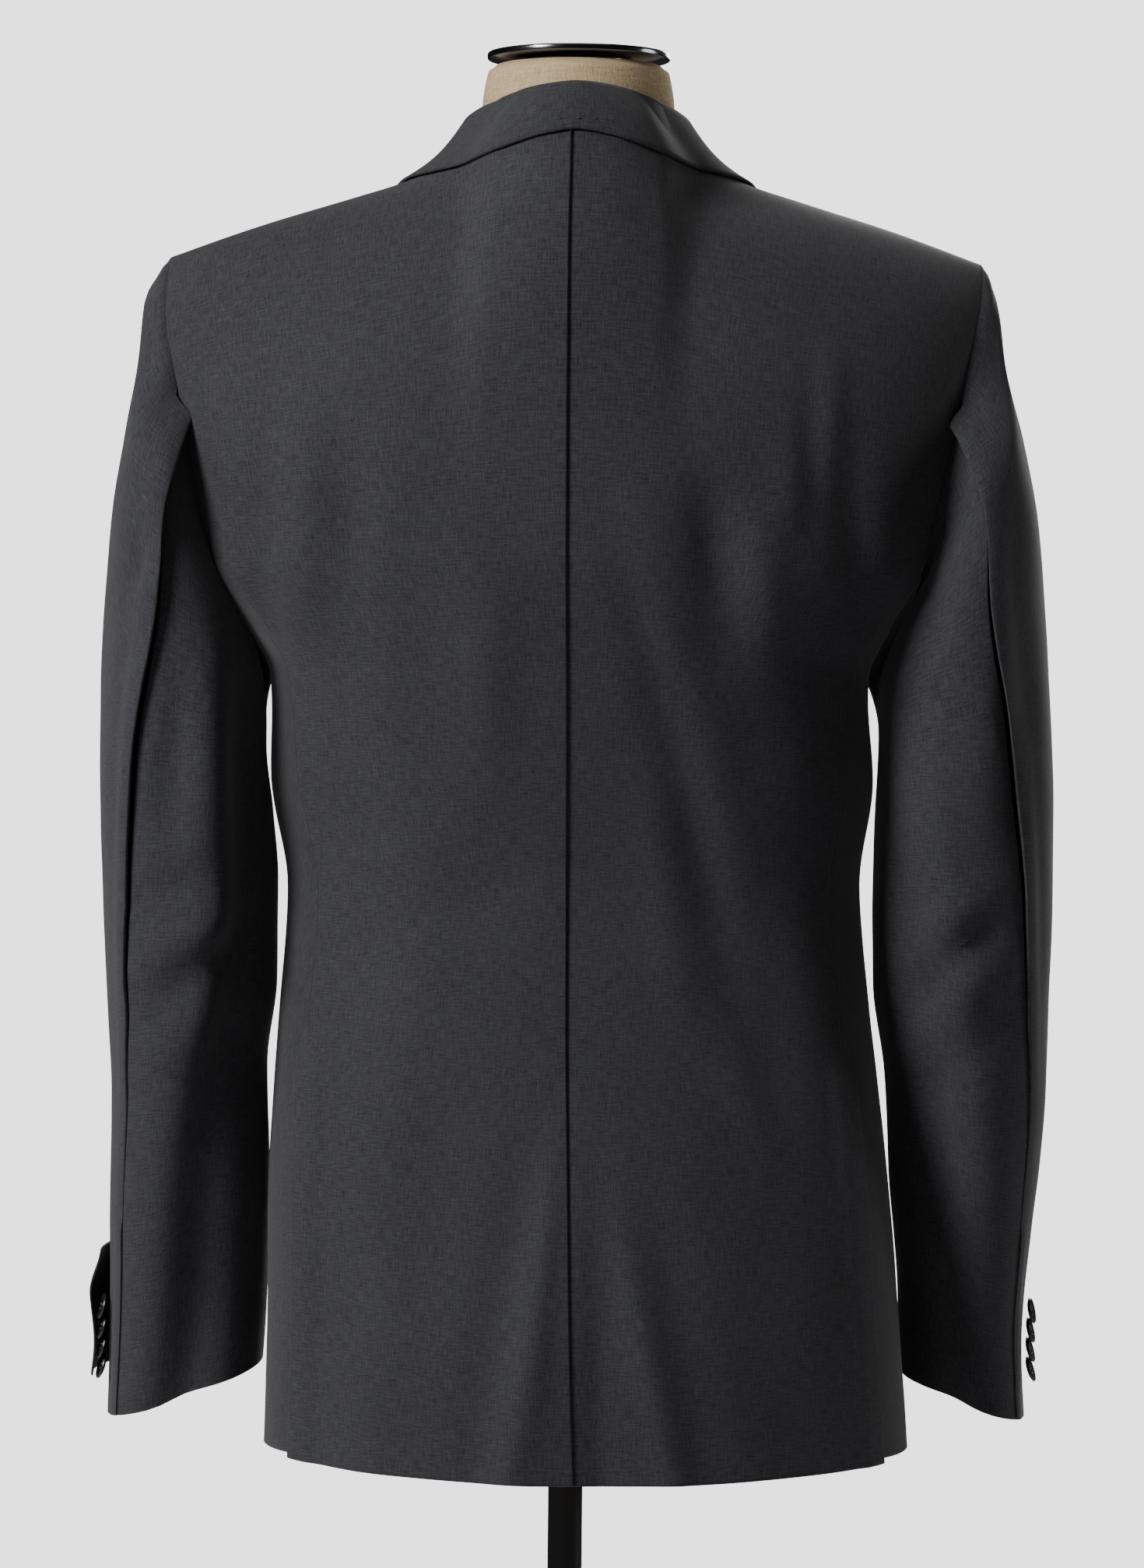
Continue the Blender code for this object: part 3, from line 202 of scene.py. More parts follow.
# The sleeve as a tube: its outer and inner side for each arm, its hindmost and foremost line.
SLEEVE_COLUMNS = ("z", "outer_left", "outer_right", "inner_left", "inner_right", "behind", "before")
SLEEVE = [
    (0.805, 0.2594, 0.2595, 0.1725, 0.1885, 0.002, -0.090),
    (0.860, 0.2580, 0.2570, 0.1692, 0.1868, 0.014, -0.089),
    (0.920, 0.2580, 0.2610, 0.1682, 0.1812, 0.032, -0.087),
    (0.990, 0.2565, 0.2670, 0.1700, 0.1768, 0.050, -0.084),
    (1.040, 0.2590, 0.2682, 0.1645, 0.1700, 0.060, -0.082),
    (1.100, 0.2620, 0.2694, 0.1640, 0.1690, 0.068, -0.080),
    (1.140, 0.2632, 0.2691, 0.1672, 0.1698, 0.071, -0.080),
    (1.180, 0.2639, 0.2677, 0.1715, 0.1715, 0.073, -0.080),
    (1.215, 0.2636, 0.2660, 0.1715, 0.1705, 0.074, -0.080),
    (1.245, 0.2624, 0.2640, 0.1780, 0.1780, 0.074, -0.080),
    (1.300, 0.2585, 0.2597, 0.2004, 0.2004, 0.070, -0.078),
    (1.350, 0.2510, 0.2496, 0.2120, 0.2120, 0.062, -0.073),
    (1.390, 0.2444, 0.2395, 0.2193, 0.2193, 0.050, -0.064),
    (1.420, 0.2420, 0.2360, 0.2240, 0.2240, 0.036, -0.052),
    (1.440, 0.2350, 0.2320, 0.2262, 0.2262, 0.016, -0.034),
    (1.449, 0.2275, 0.2275, 0.2270, 0.2270, -0.008, -0.012),
]
# Where the sleeve's back seam runs round the tube, as an angle from its outer side.
BACK_SEAM = [
    (0.80, 36.0), (0.92, 42.0), (1.02, 48.0), (1.10, 56.0), (1.17, 64.0), (1.21, 71.0),
    (1.25, 82.0), (1.28, 91.0), (1.31, 100.0), (1.34, 108.0),
]
FRONT_SEAM_ANGLE = 222.0
SLEEVE_POWER = 2.2  # how square the sleeve's sections are
# The sleeve's head: the drop over which it swells out at the tip, how much more that is
# farther down and by where, how quickly it swells, and the heights between which a column
# starts to keep its depth on the way down, up to a share of the head's rows.
HEAD_DROP = 0.020
HEAD_DROP_MORE = 0.028
HEAD_DROP_RUN = 0.10
HEAD_SWELL = 2.4
HEAD_LEVEL = (1.355, 1.405)
HEAD_LEVEL_ROWS = 0.8
CUFF_TILT = (-0.35, -0.12)  # slope of the cuff's plane outward and rearward

# The collar, one row per station from the centre back to the gorge. Station 0-1 follows the
# neckline and 1-2 the roll line. The rise is from the seam to the roll, and the fall ends on
# the panels at a distance from the centre and an angle over the shoulder (90 is the ridge).
# The swell is how far the fall stands out (or in) between the roll and that end.
COLLAR_COLUMNS = ("station", "rise_x", "rise_y", "rise_z", "fall_x", "fall_angle", "swell")
COLLAR = [
    (0.00, 0.0000, -0.0110, 0.0205, 0.0000, 77.5, 0.0018),
    (0.35, -0.0035, -0.0090, 0.0205, 0.0415, 72.5, 0.0018),
    (0.60, -0.0060, -0.0060, 0.0205, 0.0620, 74.0, 0.0018),
    (0.85, -0.0075, -0.0030, 0.0215, 0.0820, 79.5, 0.0018),
    (1.00, -0.0075, -0.0030, 0.0210, 0.0940, 88.0, 0.0018),
    (1.25, -0.0050, -0.0070, 0.0120, 0.1020, 99.0, 0.0018),
    (1.60, -0.0010, -0.0090, 0.0070, 0.1080, 110.0, 0.0018),
    (1.86, -0.0005, -0.0080, 0.0052, 0.1090, 118.0, 0.0018),
    (2.00, 0.0000, -0.0075, 0.0050, 0.0980, 132.0, 0.0018),
]

# The lapel's outer edge, from the break up to its point.
LAPEL_COLUMNS = ("along", "x", "z")
LAPEL = [
    (0.0, -0.0155, 1.1380),
    (0.2, 0.0360, 1.1960),
    (0.4, 0.0740, 1.2620),
    (0.6, 0.1010, 1.3220),
    (0.8, 0.1210, 1.3760),
    (1.0, 0.1320, 1.4120),
]

# The hip pocket flap, by its angle round the trunk from the centre back.
FLAP_ANGLES = (102.0, 146.0)
FLAP_TOP = (1.022, 1.012)  # height at its rear end and its front end
FLAP_DEPTH = 0.048
FLAP_FLARE = 0.0035  # how far its lower edge stands off
FLAP_CURVE = 1.4  # how much of that comes near the lower edge

# Soft folds of the back: x and z of the line's lower end, x and z of its upper end, then the
# fold's half width and height.
BACK_FOLDS = [
    (0.034, 0.780, 0.003, 0.960, 0.030, 0.0045),
    (-0.058, 0.780, -0.030, 0.930, 0.032, 0.0045),
    (0.105, 0.800, 0.070, 1.060, 0.030, -0.0030),
    (-0.118, 0.800, -0.085, 1.080, 0.032, -0.0032),
    (0.118, 1.140, 0.128, 1.260, 0.022, -0.0045),
    (-0.150, 1.150, -0.158, 1.270, 0.020, -0.0045),
    (-0.080, 1.240, -0.086, 1.330, 0.022, -0.0035),
]
# As shares of a fold's length: how far past its ends it is drawn, and where it fades out
# upward, if it stops above the hem or runs on to it.
FOLD_REACH = (-0.5, 1.5)
FOLD_FADE = (0.6, 1.3)
HEM_FOLD_FADE = (0.3, 1.2)

# Rows up a body panel below the armhole, rows over the shoulder in degrees, and the columns.
LOW_ROWS = (
    0.0, 0.02, 0.05, 0.095, 0.15, 0.22, 0.31, 0.395, 0.445, 0.53, 0.62, 0.71, 0.80, 0.88, 0.94, 1.0,
)
OVER_ROWS = (13.0, 26.0, 38.0, 50.1, 61.0, 71.0, 80.0, 90.0)
NECK_COLUMNS = (0.0, 0.016, 0.031, 0.045, 0.057, 0.068)
SHOULDER_COLUMNS = (0.068, 0.090, 0.115, 0.140, 0.165, 0.187, 0.208, 0.227)
SIDE_COLUMNS = (0.0, 0.15, 0.32, 0.50, 0.66, 0.82, 1.0)
CAP_ROWS = (0.0, 0.06, 0.17, 0.34, 0.56, 0.79, 1.0)
TUBE_ROWS = (0.10, 0.20, 0.31, 0.42, 0.53, 0.64, 0.74, 0.83, 0.92, 1.0)
BACK_SEAM_ROW = 6  # the armhole corner, counted from the tip, where each sleeve seam starts
FRONT_SEAM_ROW = 13

# ---------------------------------------------------------------- details of the cloth
DENSITY = 6  # how many times finer each grid is than the solid model's
SEAM_CLOSED = 0.1  # sewn edges meet here: this share is left of the gap between two solids
SEAM_DIP = 0.0006  # how far from a sewn edge the cloth starts to sink into the seam
RIM_SHARES = (0.08, 0.17, 0.30)  # narrow rows beside it, as shares of the grid's first step
COLLAR_HUG = 0.0048  # how much closer the collar's fall lies at the side of the neck
HUG_GROWS = (0.35, 0.75)  # stations of the collar between which that grows
HUG_FADES = (1.0, 1.45)
COLLAR_PROBE = (0.004, 4.0)  # metres out and degrees up for the slope of the cloth under it
COLLAR_TURN = 120.0  # degrees that it turns in its fold-over
COLLAR_TURN_START = 0.9  # below the roll, as a share of the fold-over's radius
LAPEL_SWELL = ((0.0, 0.10, 0.34, 0.67, 1.0), (0.0, 0.0030, 0.0032, 0.0012, 0.0))  # across it
LAPEL_PROUD = (0.25, 0.7)  # shares of its length between which that swell grows
LAPEL_RIPPLE = 0.5  # share of the usual unevenness
SEAM_CALM = 0.020  # folds fade out this far from a sewn edge
EDGE_ROUND = 0.35  # how far a free edge rounds out, as a share of the wall
CLOTH_SHARP = 70.0  # degrees at which an edge of the cloth starts to shade as sharp
HEM_FOLD = 0.82  # folds that end below this run on to the hem
CUFF_VENT_TOP = 0.915
CUFF_VENT_RUN = 0.012  # height over which that vent opens
CUFF_VENT_LIFT = 0.0011  # how far the top sleeve's edge stands up along the cuff vent
CUFF_VENT_EDGE = (0.004, 0.014)  # it sinks back to the sleeve between these from the edge
SLEEVE_ROPE = 0.0012  # soft ridge of the sleeve head beside the armhole seam
ROPE_WIDE = 0.012
ROPE_HEIGHTS = (1.36, 1.43)  # the ridge rises to its full height between these
SLEEVE_SETTLE = 0.022  # the sleeve's folds are full this far below the armhole seam
FLAP_CORNER = 0.006  # rise of the flap's lower edge at its rounded corners

# Slight unevenness of pressed cloth: its length across and up, and its height.
RIPPLES = [(0.110, 0.210, 0.00030), (0.061, 0.090, 0.00016), (0.027, 0.043, 0.00006)]

# Soft folds as seen from behind (faces 1) or from the front (faces -1). Each is a line
# through three points, with its half width and its height; a trough has a height below 0.
CREASE_COLUMNS = ("x1", "z1", "x2", "z2", "x3", "z3", "half", "height", "faces")
CREASE_ENDS = (0.04, 0.96)  # shares of its length past which a fold gets no lower
CREASE_TAPER = 0.7  # how slowly it rises from its ends
CREASE_FACING = (0.05, 0.55)  # it grows between these shares of facing its own way
BACK_CREASES = [
    (0.124, 1.343, 0.122, 1.300, 0.123, 1.255, 0.014, -0.0024, 1),
    (0.150, 1.372, 0.146, 1.300, 0.150, 1.235, 0.012, 0.0016, 1),
    (0.170, 1.360, 0.171, 1.290, 0.174, 1.220, 0.011, -0.0026, 1),
    (0.047, 1.275, 0.046, 1.215, 0.046, 1.150, 0.016, 0.0018, 1),
    (0.086, 1.290, 0.084, 1.220, 0.078, 1.130, 0.018, -0.0016, 1),
    (-0.139, 1.405, -0.140, 1.360, -0.140, 1.318, 0.008, 0.0017, 1),
    (-0.116, 1.348, -0.116, 1.320, -0.118, 1.290, 0.009, 0.0014, 1),
    (-0.128, 1.375, -0.129, 1.330, -0.130, 1.290, 0.008, -0.0015, 1),
    (-0.068, 1.326, -0.077, 1.284, -0.085, 1.245, 0.013, -0.0028, 1),
    (-0.100, 1.310, -0.104, 1.270, -0.106, 1.225, 0.012, 0.0018, 1),
    (-0.146, 1.365, -0.152, 1.300, -0.160, 1.225, 0.012, -0.0030, 1),
    (-0.015, 1.311, -0.054, 1.187, -0.116, 0.945, 0.012, -0.0019, 1),
    (-0.034, 1.300, -0.070, 1.190, -0.098, 1.080, 0.016, 0.0015, 1),
    (-0.042, 1.160, -0.054, 1.085, -0.066, 1.012, 0.013, 0.0018, 1),
    (-0.083, 1.020, -0.099, 0.985, -0.118, 0.940, 0.012, 0.0019, 1),
    (-0.100, 1.090, -0.112, 1.030, -0.120, 0.970, 0.014, -0.0016, 1),
    (0.000, 0.966, 0.014, 0.880, 0.031, 0.779, 0.010, 0.0022, 1),
    (0.020, 0.960, 0.036, 0.880, 0.052, 0.779, 0.014, -0.0022, 1),
    (-0.028, 0.925, -0.042, 0.860, -0.059, 0.779, 0.010, 0.0022, 1),
    (-0.048, 0.930, -0.063, 0.860, -0.080, 0.779, 0.014, -0.0020, 1),
    (-0.014, 0.930, -0.014, 0.860, -0.015, 0.779, 0.014, -0.0018, 1),
    (0.085, 1.070, 0.096, 0.960, 0.102, 0.779, 0.020, 0.0016, 1),
    (0.118, 1.060, 0.128, 0.950, 0.136, 0.790, 0.018, -0.0014, 1),
    (0.030, 1.100, 0.060, 1.085, 0.105, 1.078, 0.010, -0.0011, 1),
    (-0.030, 1.098, -0.066, 1.080, -0.110, 1.072, 0.010, -0.0012, 1),
    (0.060, 1.124, 0.090, 1.114, 0.130, 1.112, 0.010, 0.0009, 1),
    (0.010, 1.500, 0.060, 1.478, 0.120, 1.462, 0.012, -0.0010, 1),
    (-0.010, 1.500, -0.060, 1.480, -0.120, 1.466, 0.012, -0.0009, 1),
]
FRONT_CREASES = [
    (0.010, 1.115, 0.060, 1.130, 0.115, 1.158, 0.010, -0.0016, -1),
    (0.010, 1.098, 0.065, 1.092, 0.120, 1.100, 0.011, 0.0013, -1),
    (0.012, 1.060, 0.055, 1.048, 0.110, 1.046, 0.012, -0.0013, -1),
    (-0.010, 1.112, -0.060, 1.128, -0.110, 1.152, 0.010, -0.0015, -1),
    (-0.012, 1.094, -0.060, 1.090, -0.118, 1.102, 0.012, 0.0013, -1),
    (-0.014, 1.052, -0.052, 1.046, -0.106, 1.040, 0.012, -0.0012, -1),
    (0.150, 1.330, 0.146, 1.270, 0.140, 1.200, 0.013, -0.0026, -1),
    (0.128, 1.300, 0.124, 1.240, 0.118, 1.180, 0.014, 0.0016, -1),
    (-0.150, 1.335, -0.145, 1.275, -0.142, 1.210, 0.013, -0.0025, -1),
    (-0.126, 1.310, -0.124, 1.250, -0.120, 1.190, 0.014, 0.0015, -1),
    (0.085, 0.960, 0.092, 0.880, 0.098, 0.785, 0.018, 0.0018, -1),
    (0.055, 0.950, 0.060, 0.880, 0.066, 0.785, 0.014, -0.0014, -1),
    (-0.080, 0.965, -0.088, 0.880, -0.096, 0.785, 0.018, 0.0017, -1),
    (-0.120, 0.950, -0.126, 0.880, -0.134, 0.785, 0.014, -0.0015, -1),
]
SLEEVE_CREASES = [
    (0.196, 1.235, 0.194, 1.090, 0.212, 0.970, 0.010, 0.0030, 1),
    (0.178, 1.235, 0.174, 1.095, 0.192, 0.965, 0.015, -0.0056, 1),
    (0.190, 1.010, 0.200, 0.900, 0.214, 0.812, 0.017, -0.0060, 1),
    (0.214, 1.010, 0.224, 0.900, 0.234, 0.812, 0.012, 0.0022, 1),
    (-0.194, 1.180, -0.211, 1.070, -0.234, 0.930, 0.011, 0.0032, 1),
    (-0.180, 1.140, -0.190, 1.040, -0.207, 0.930, 0.015, -0.0056, 1),
    (-0.200, 0.985, -0.209, 0.890, -0.216, 0.812, 0.017, -0.0056, 1),
    (0.232, 1.292, 0.240, 1.272, 0.249, 1.258, 0.007, -0.0026, 1),
    (0.226, 1.272, 0.236, 1.252, 0.247, 1.240, 0.008, 0.0015, 1),
    (0.214, 1.228, 0.219, 1.170, 0.223, 1.112, 0.010, -0.0034, 1),
    (0.200, 1.200, 0.203, 1.150, 0.208, 1.105, 0.008, 0.0016, 1),
    (0.184, 1.086, 0.206, 1.072, 0.235, 1.050, 0.009, 0.0032, 1),
    (0.180, 1.068, 0.206, 1.050, 0.236, 1.026, 0.009, -0.0032, 1),
    (0.190, 1.030, 0.214, 1.010, 0.242, 0.996, 0.011, 0.0018, 1),
    (0.196, 1.110, 0.214, 1.098, 0.240, 1.088, 0.009, -0.0022, 1),
    (0.206, 0.985, 0.214, 0.940, 0.218, 0.880, 0.012, -0.0018, 1),
    (0.236, 1.180, 0.242, 1.100, 0.246, 1.010, 0.012, 0.0012, 1),
    (-0.242, 1.228, -0.243, 1.170, -0.243, 1.116, 0.009, -0.0028, 1),
    (-0.226, 1.230, -0.227, 1.160, -0.229, 1.110, 0.008, 0.0016, 1),
    (-0.234, 1.084, -0.210, 1.060, -0.184, 1.032, 0.009, -0.0038, 1),
    (-0.238, 1.066, -0.212, 1.040, -0.186, 1.012, 0.010, 0.0028, 1),
    (-0.236, 1.106, -0.212, 1.086, -0.184, 1.062, 0.009, 0.0030, 1),
    (-0.240, 1.030, -0.216, 1.004, -0.192, 0.984, 0.010, -0.0020, 1),
    (-0.208, 0.990, -0.214, 0.930, -0.216, 0.870, 0.012, 0.0016, 1),
    (-0.190, 1.290, -0.196, 1.260, -0.204, 1.230, 0.008, -0.0022, 1),
    (0.205, 1.160, 0.222, 1.150, 0.242, 1.146, 0.010, -0.0020, -1),
    (0.196, 1.110, 0.216, 1.092, 0.240, 1.084, 0.009, -0.0032, -1),
    (0.200, 1.084, 0.218, 1.066, 0.240, 1.058, 0.009, 0.0022, -1),
    (0.200, 1.050, 0.220, 1.036, 0.240, 1.030, 0.009, -0.0024, -1),
    (0.212, 1.330, 0.222, 1.270, 0.226, 1.210, 0.011, -0.0022, -1),
    (-0.205, 1.156, -0.222, 1.148, -0.242, 1.140, 0.010, -0.0022, -1),
    (-0.196, 1.114, -0.216, 1.098, -0.240, 1.088, 0.009, -0.0030, -1),
    (-0.200, 1.088, -0.218, 1.072, -0.240, 1.060, 0.009, 0.0022, -1),
    (-0.200, 1.046, -0.220, 1.034, -0.240, 1.026, 0.009, -0.0024, -1),
    (-0.212, 1.330, -0.222, 1.270, -0.226, 1.210, 0.011, -0.0022, -1),
]

# By the vent the top sleeve's corner stands off the cuff, as the lowest button leaves it.
CUFF_CORNER_TOP = 0.848
CUFF_CORNER_WIDE = 0.020
CUFF_CORNER_LIFT = 0.0085

# How wide a flap's corner rounds, as a share of half its width.
FLAP_ROUND = 0.18

# A button's side from its underside to its sunk face, as shares of its radius and thickness,
# then how far its corners round, and its face: rim, height, dish and the middle's height.
BUTTON_SIDE = ((0.0, 0.0), (0.62, 0.0), (0.97, 0.42), (1.0, 0.62), (0.90, 1.0), (0.72, 0.84))
BUTTON_ROUND = 0.06
FACE_RIM = 0.72
FACE_HEIGHT = 0.84
FACE_DISH = 0.08
FACE_DISH_RUN = 0.35
FACE_MIDDLE = 0.76

# A button's four holes: how far out, as a share of its radius, and which way.
HOLE_PLACE = 0.26
HOLE_SIZE = 0.115  # a hole's radius, as a share of the button's
HOLE_SINK = 0.45  # its depth, as a share of the button's thickness
HOLE_EDGE = (0.75, 1.25)  # its wall, as shares of its radius
THREAD_FOOT = 0.50  # where its thread starts, as a share of the button's thickness
THREAD_RISE = (0.34, 0.06)  # the first thread's rise, and how much more the second's is
HOLE_TURNS = (0.25 * math.pi, 0.75 * math.pi, 1.25 * math.pi, 1.75 * math.pi)

# Buttonholes and pick stitches.
HOLE_PITCH = 0.0009
HOLE_WIDTH = 0.0016
HOLE_START = 0.002
WHIP_START = 0.0002  # from the slit's middle to where a whip stitch starts
WHIP_RISE = 0.0004
FRONT_HOLE = 0.022
LAPEL_HOLE_ROW = 0.87
LAPEL_HOLE_SPAN = (0.66, 0.88)
PICK_HALF = 0.0011  # half the length of a pick stitch
PICK_RISE = 0.00045
PICK_THICK = 1.3  # its thread, as a share of the usual one
LABEL_STITCH_RISE = 0.0004
PICK_PLACES = (0.0098, -0.0003, -0.0091, -0.0188)
PICK_HEIGHT = 1.5190

# The studio: the camera stands behind the blazer, turned a little as the photograph is.
CAMERA_DISTANCE = 3.4
EYE_HEIGHT = 1.156
LENS_MM = 139.7
CAMERA_ROLL = 0.55
FLOOR_RADIUS = 5.0
FLOOR_SIDES = 96
FLOOR_Z = -0.0005  # just under the base
BACKDROP = "#E1E1E2"
BACKDROP_GLOW = 3.35
ROOM_LIGHT = 0.022
LIGHT_AIM = (0.0, 0.0, 1.15)
LIGHT_COLUMNS = ("name", "x", "y", "z", "size", "watts")
LIGHTS = [
    ("key_left", 2.2, 1.75, 2.6, 1.1, 124.0),
    ("side_right", -2.8, -0.4, 1.7, 1.2, 15.0),
    ("front_key", -1.2, -2.8, 2.2, 1.6, 55.0),
    ("top", 0.0, 0.2, 3.6, 1.6, 8.0),
]


def fine(values, first=False):
    """The same run of values with DENSITY steps for each of its steps."""
    steps = np.arange((len(values) - 1) * DENSITY + 1) / DENSITY
    made = np.interp(steps, range(len(values)), values)
    return made if not first else made[1:]


LOW_ROWS = fine(LOW_ROWS)
OVER_ROWS = fine((0.0, *OVER_ROWS), first=True)
NECK_COLUMNS = fine(NECK_COLUMNS)
SHOULDER_COLUMNS = fine(SHOULDER_COLUMNS)
SIDE_COLUMNS = fine(SIDE_COLUMNS)
CAP_ROWS = fine(CAP_ROWS)
TUBE_ROWS = fine((0.0, *TUBE_ROWS), first=True)
SEAM = SEAM * SEAM_CLOSED
BACK_SEAM_ROW = BACK_SEAM_ROW * DENSITY
FRONT_SEAM_ROW = FRONT_SEAM_ROW * DENSITY


# ---------------------------------------------------------------- smooth tables
def track(at, values):
    """A smooth curve through a table's points that never overshoots them."""
    at = np.array(at, float)
    values = np.array(values, float)
    step = np.diff(at)
    slope = np.diff(values) / step
    bend = np.zeros_like(values)
    both = slope[:-1] * slope[1:]
    same = both > 0
    bend[1:-1][same] = 2 * both[same] / (slope[:-1] + slope[1:])[same]
    bend[0] = slope[0]
    bend[-1] = slope[-1]

    def value(x):
        x = np.clip(x, at[0], at[-1])
        i = np.clip(np.searchsorted(at, x) - 1, 0, len(step) - 1)
        t = (x - at[i]) / step[i]
        near = values[i] * (1 + 2 * t) * (1 - t) ** 2 + step[i] * bend[i] * t * (1 - t) ** 2
        far = values[i + 1] * t * t * (3 - 2 * t) + step[i] * bend[i + 1] * t * t * (t - 1)
        return near + far

    return value


def tracks(columns, rows):
    """One curve for each named column after the first, which is where they are read."""
    values = np.array(rows, float).T
    return {name: track(values[0], column) for name, column in zip(columns[1:], values[1:])}


BODY_AT = tracks(BODY_COLUMNS, BODY)
RIDGE_AT = tracks(RIDGE_COLUMNS, RIDGE)
ARMHOLE_AT = tracks(ARMHOLE_COLUMNS, ARMHOLE)
SLEEVE_AT = tracks(SLEEVE_COLUMNS, SLEEVE)
COLLAR_AT = tracks(COLLAR_COLUMNS, COLLAR)
LAPEL_AT = tracks(LAPEL_COLUMNS, LAPEL)
UNDERARM_AT = track(*zip(*UNDERARM_EDGE))
BACK_SEAM_AT = track(*zip(*BACK_SEAM))


def smooth(low, high, x):
    t = np.clip((x - low) / (high - low), 0, 1)
    return t * t * (3 - 2 * t)


def points(x, y, z):
    return np.stack(np.broadcast_arrays(x, y, z), axis=-1).astype(float)


# ---------------------------------------------------------------- the body shape
def section(angle, z, inset=0.0):
    """Distance out and back of the trunk at an angle from the centre back, in radians."""
    width = BODY_AT["half_width"](z) - inset
    behind = np.cos(angle) > 0
    depth = np.where(behind, BODY_AT["back"](z), BODY_AT["front"](z)) - inset
    power = np.where(behind, BODY_AT["back_power"](z), BODY_AT["front_power"](z))
    reach = (np.abs(np.sin(angle) / width) ** power + np.abs(np.cos(angle) / depth) ** power)
    reach = reach ** (-1 / power)
    return reach * np.sin(angle), reach * np.cos(angle)


def depth_at(x, z, behind):
    """How far back or forward the trunk reaches at a distance from the centre."""
    half = "back" if behind else "front"
    share = np.clip(np.abs(x) / BODY_AT["half_width"](z), 0, 0.999)
    power = BODY_AT[half + "_power"](z)
    reach = BODY_AT[half](z) * (1 - share**power) ** (1 / power)
    return reach if behind else -reach


def place(side, x, y, z):
    """Puts a point given for the wearer's left on either side, with the section's shift."""
    return points(BODY_AT["shift"](z) + side * x, y, z)


def over(x, base_y, sine, top):
    """The cloth between the chest and the ridge: y and z at a share of the climb. In front
    it climbs to the neck side and the shoulder seam, behind to the whole ridge."""
    x = np.maximum(np.abs(x), NECK_SIDE) if top == FRONT_TOP else x
    power = RIDGE_AT["power"](np.abs(x))
    fade = np.clip(1 - sine**power, 0, 1) ** (1 / power)
    ridge_y = RIDGE_AT["y"](np.abs(x))
    z = top + (RIDGE_AT["z"](np.abs(x)) - top) * sine
    return ridge_y + (base_y - ridge_y) * fade, z


def fold_relief(x, z):
    """Height of the back's soft folds at a point."""
    total = np.zeros(np.broadcast(x, z).shape)
    for x_low, z_low, x_high, z_high, half, height in BACK_FOLDS:
        along = np.clip((z - z_low) / (z_high - z_low), *FOLD_REACH)
        line = x_low + (x_high - x_low) * along
        fade = smooth(FOLD_REACH[0], 0.0, along) * (1 - smooth(*FOLD_FADE, along))
        if z_low < HEM_FOLD:
            fade = 1 - smooth(*HEM_FOLD_FADE, along)
        total += height * fade * np.exp(-(((x - line) / half) ** 2))
    return total


def seam_angle(z):
    """Angle of the side-back seam, so that it ends at the armhole's corner."""
    corner_x = ARMHOLE_AT["back"](BACK_TOP)
    corner = np.arctan2(corner_x, depth_at(corner_x, BACK_TOP, True))
    usual = np.radians(BODY_AT["seam_back"](z))
    missed = corner - np.radians(BODY_AT["seam_back"](BACK_TOP))
    return usual + missed * smooth(BACK_SEAM_TURN, BACK_TOP, z)


def front_seam_angle(z):
    """Angle of the side-front seam, so that it ends at the armhole's corner."""
    corner_x = ARMHOLE_AT["front"](FRONT_TOP)
    corner = np.arctan2(corner_x, depth_at(corner_x, FRONT_TOP, False))
    usual = np.radians(BODY_AT["seam_front"](z))
    missed = corner - np.radians(BODY_AT["seam_front"](FRONT_TOP))
    return usual + missed * smooth(FRONT_SEAM_TURN, FRONT_TOP, z)


def side_grid(side):
    """Rows from the hem up to the underarm, columns from the side-back seam forward."""
    across = np.array(SIDE_COLUMNS)
    rows = []
    for row in LOW_ROWS:
        z = SIDE_HEM + (UNDERARM_AT(across) - SIDE_HEM) * row
        around = seam_angle(z) + (front_seam_angle(z) - seam_angle(z)) * across
        x, y = section(around, z)
        rows.append(place(side, x, y, z))
    return np.array(rows)


def front_edge(z):
    """The front's inner edge: rounded corner, straight edge, then the roll line."""
    down = np.clip((CUTAWAY_TOP - z) / (CUTAWAY_TOP - FRONT_HEM), 0, 1)
    corner = CUTAWAY * (1 - np.sqrt(1 - CUTAWAY_ROUND * down**2))
    rolled = np.clip((z - BREAK) / (RIDGE_AT["z"](NECK_SIDE) - BREAK), 0, 1)
    return -FRONT_LAP + corner + (NECK_SIDE + FRONT_LAP) * rolled


def tuck(side, x):
    """The right front lies under the left one along the lap, with its lapel between them."""
    depth = FRONT_UNDER if side < 0 else 0.0
    return depth * (1 - smooth(*LAP_EASE, x))


def front_shares():
    """Columns of the front panel as shares of its base line, and the depth there."""
    ridge_x = np.array(SHOULDER_COLUMNS)
    share = (ridge_x - NECK_SIDE) / (SHOULDER_TIP - NECK_SIDE)
    inner = front_edge(FRONT_TOP)
    base_x = inner + (ARMHOLE_AT["front"](FRONT_TOP) - inner) * share
    return share, base_x, depth_at(base_x, FRONT_TOP, False)


def front_grid(side):
    """Rows from the hem up to the shoulder seam, columns from the front edge to the side."""
    share, base_x, base_y = front_shares()
    angle = np.arctan2(base_x, -base_y)
    turn = (angle - angle[0]) / (angle[-1] - angle[0])
    rows = []
    for row in LOW_ROWS:
        low = FRONT_HEM + FRONT_HEM_RISE * turn
        z = low + (FRONT_TOP - low) * row
        inner = front_edge(z)
        first = np.arctan2(inner, -depth_at(inner, z, False))
        last = math.pi - front_seam_angle(z)
        x, y = section(math.pi - first - (last - first) * turn, z)
        rows.append(place(side, x, y + tuck(side, x), z))
    for degrees in OVER_ROWS:
        rows.append(front_over(side, share, base_y, math.sin(math.radians(degrees))))
    return np.array(rows)


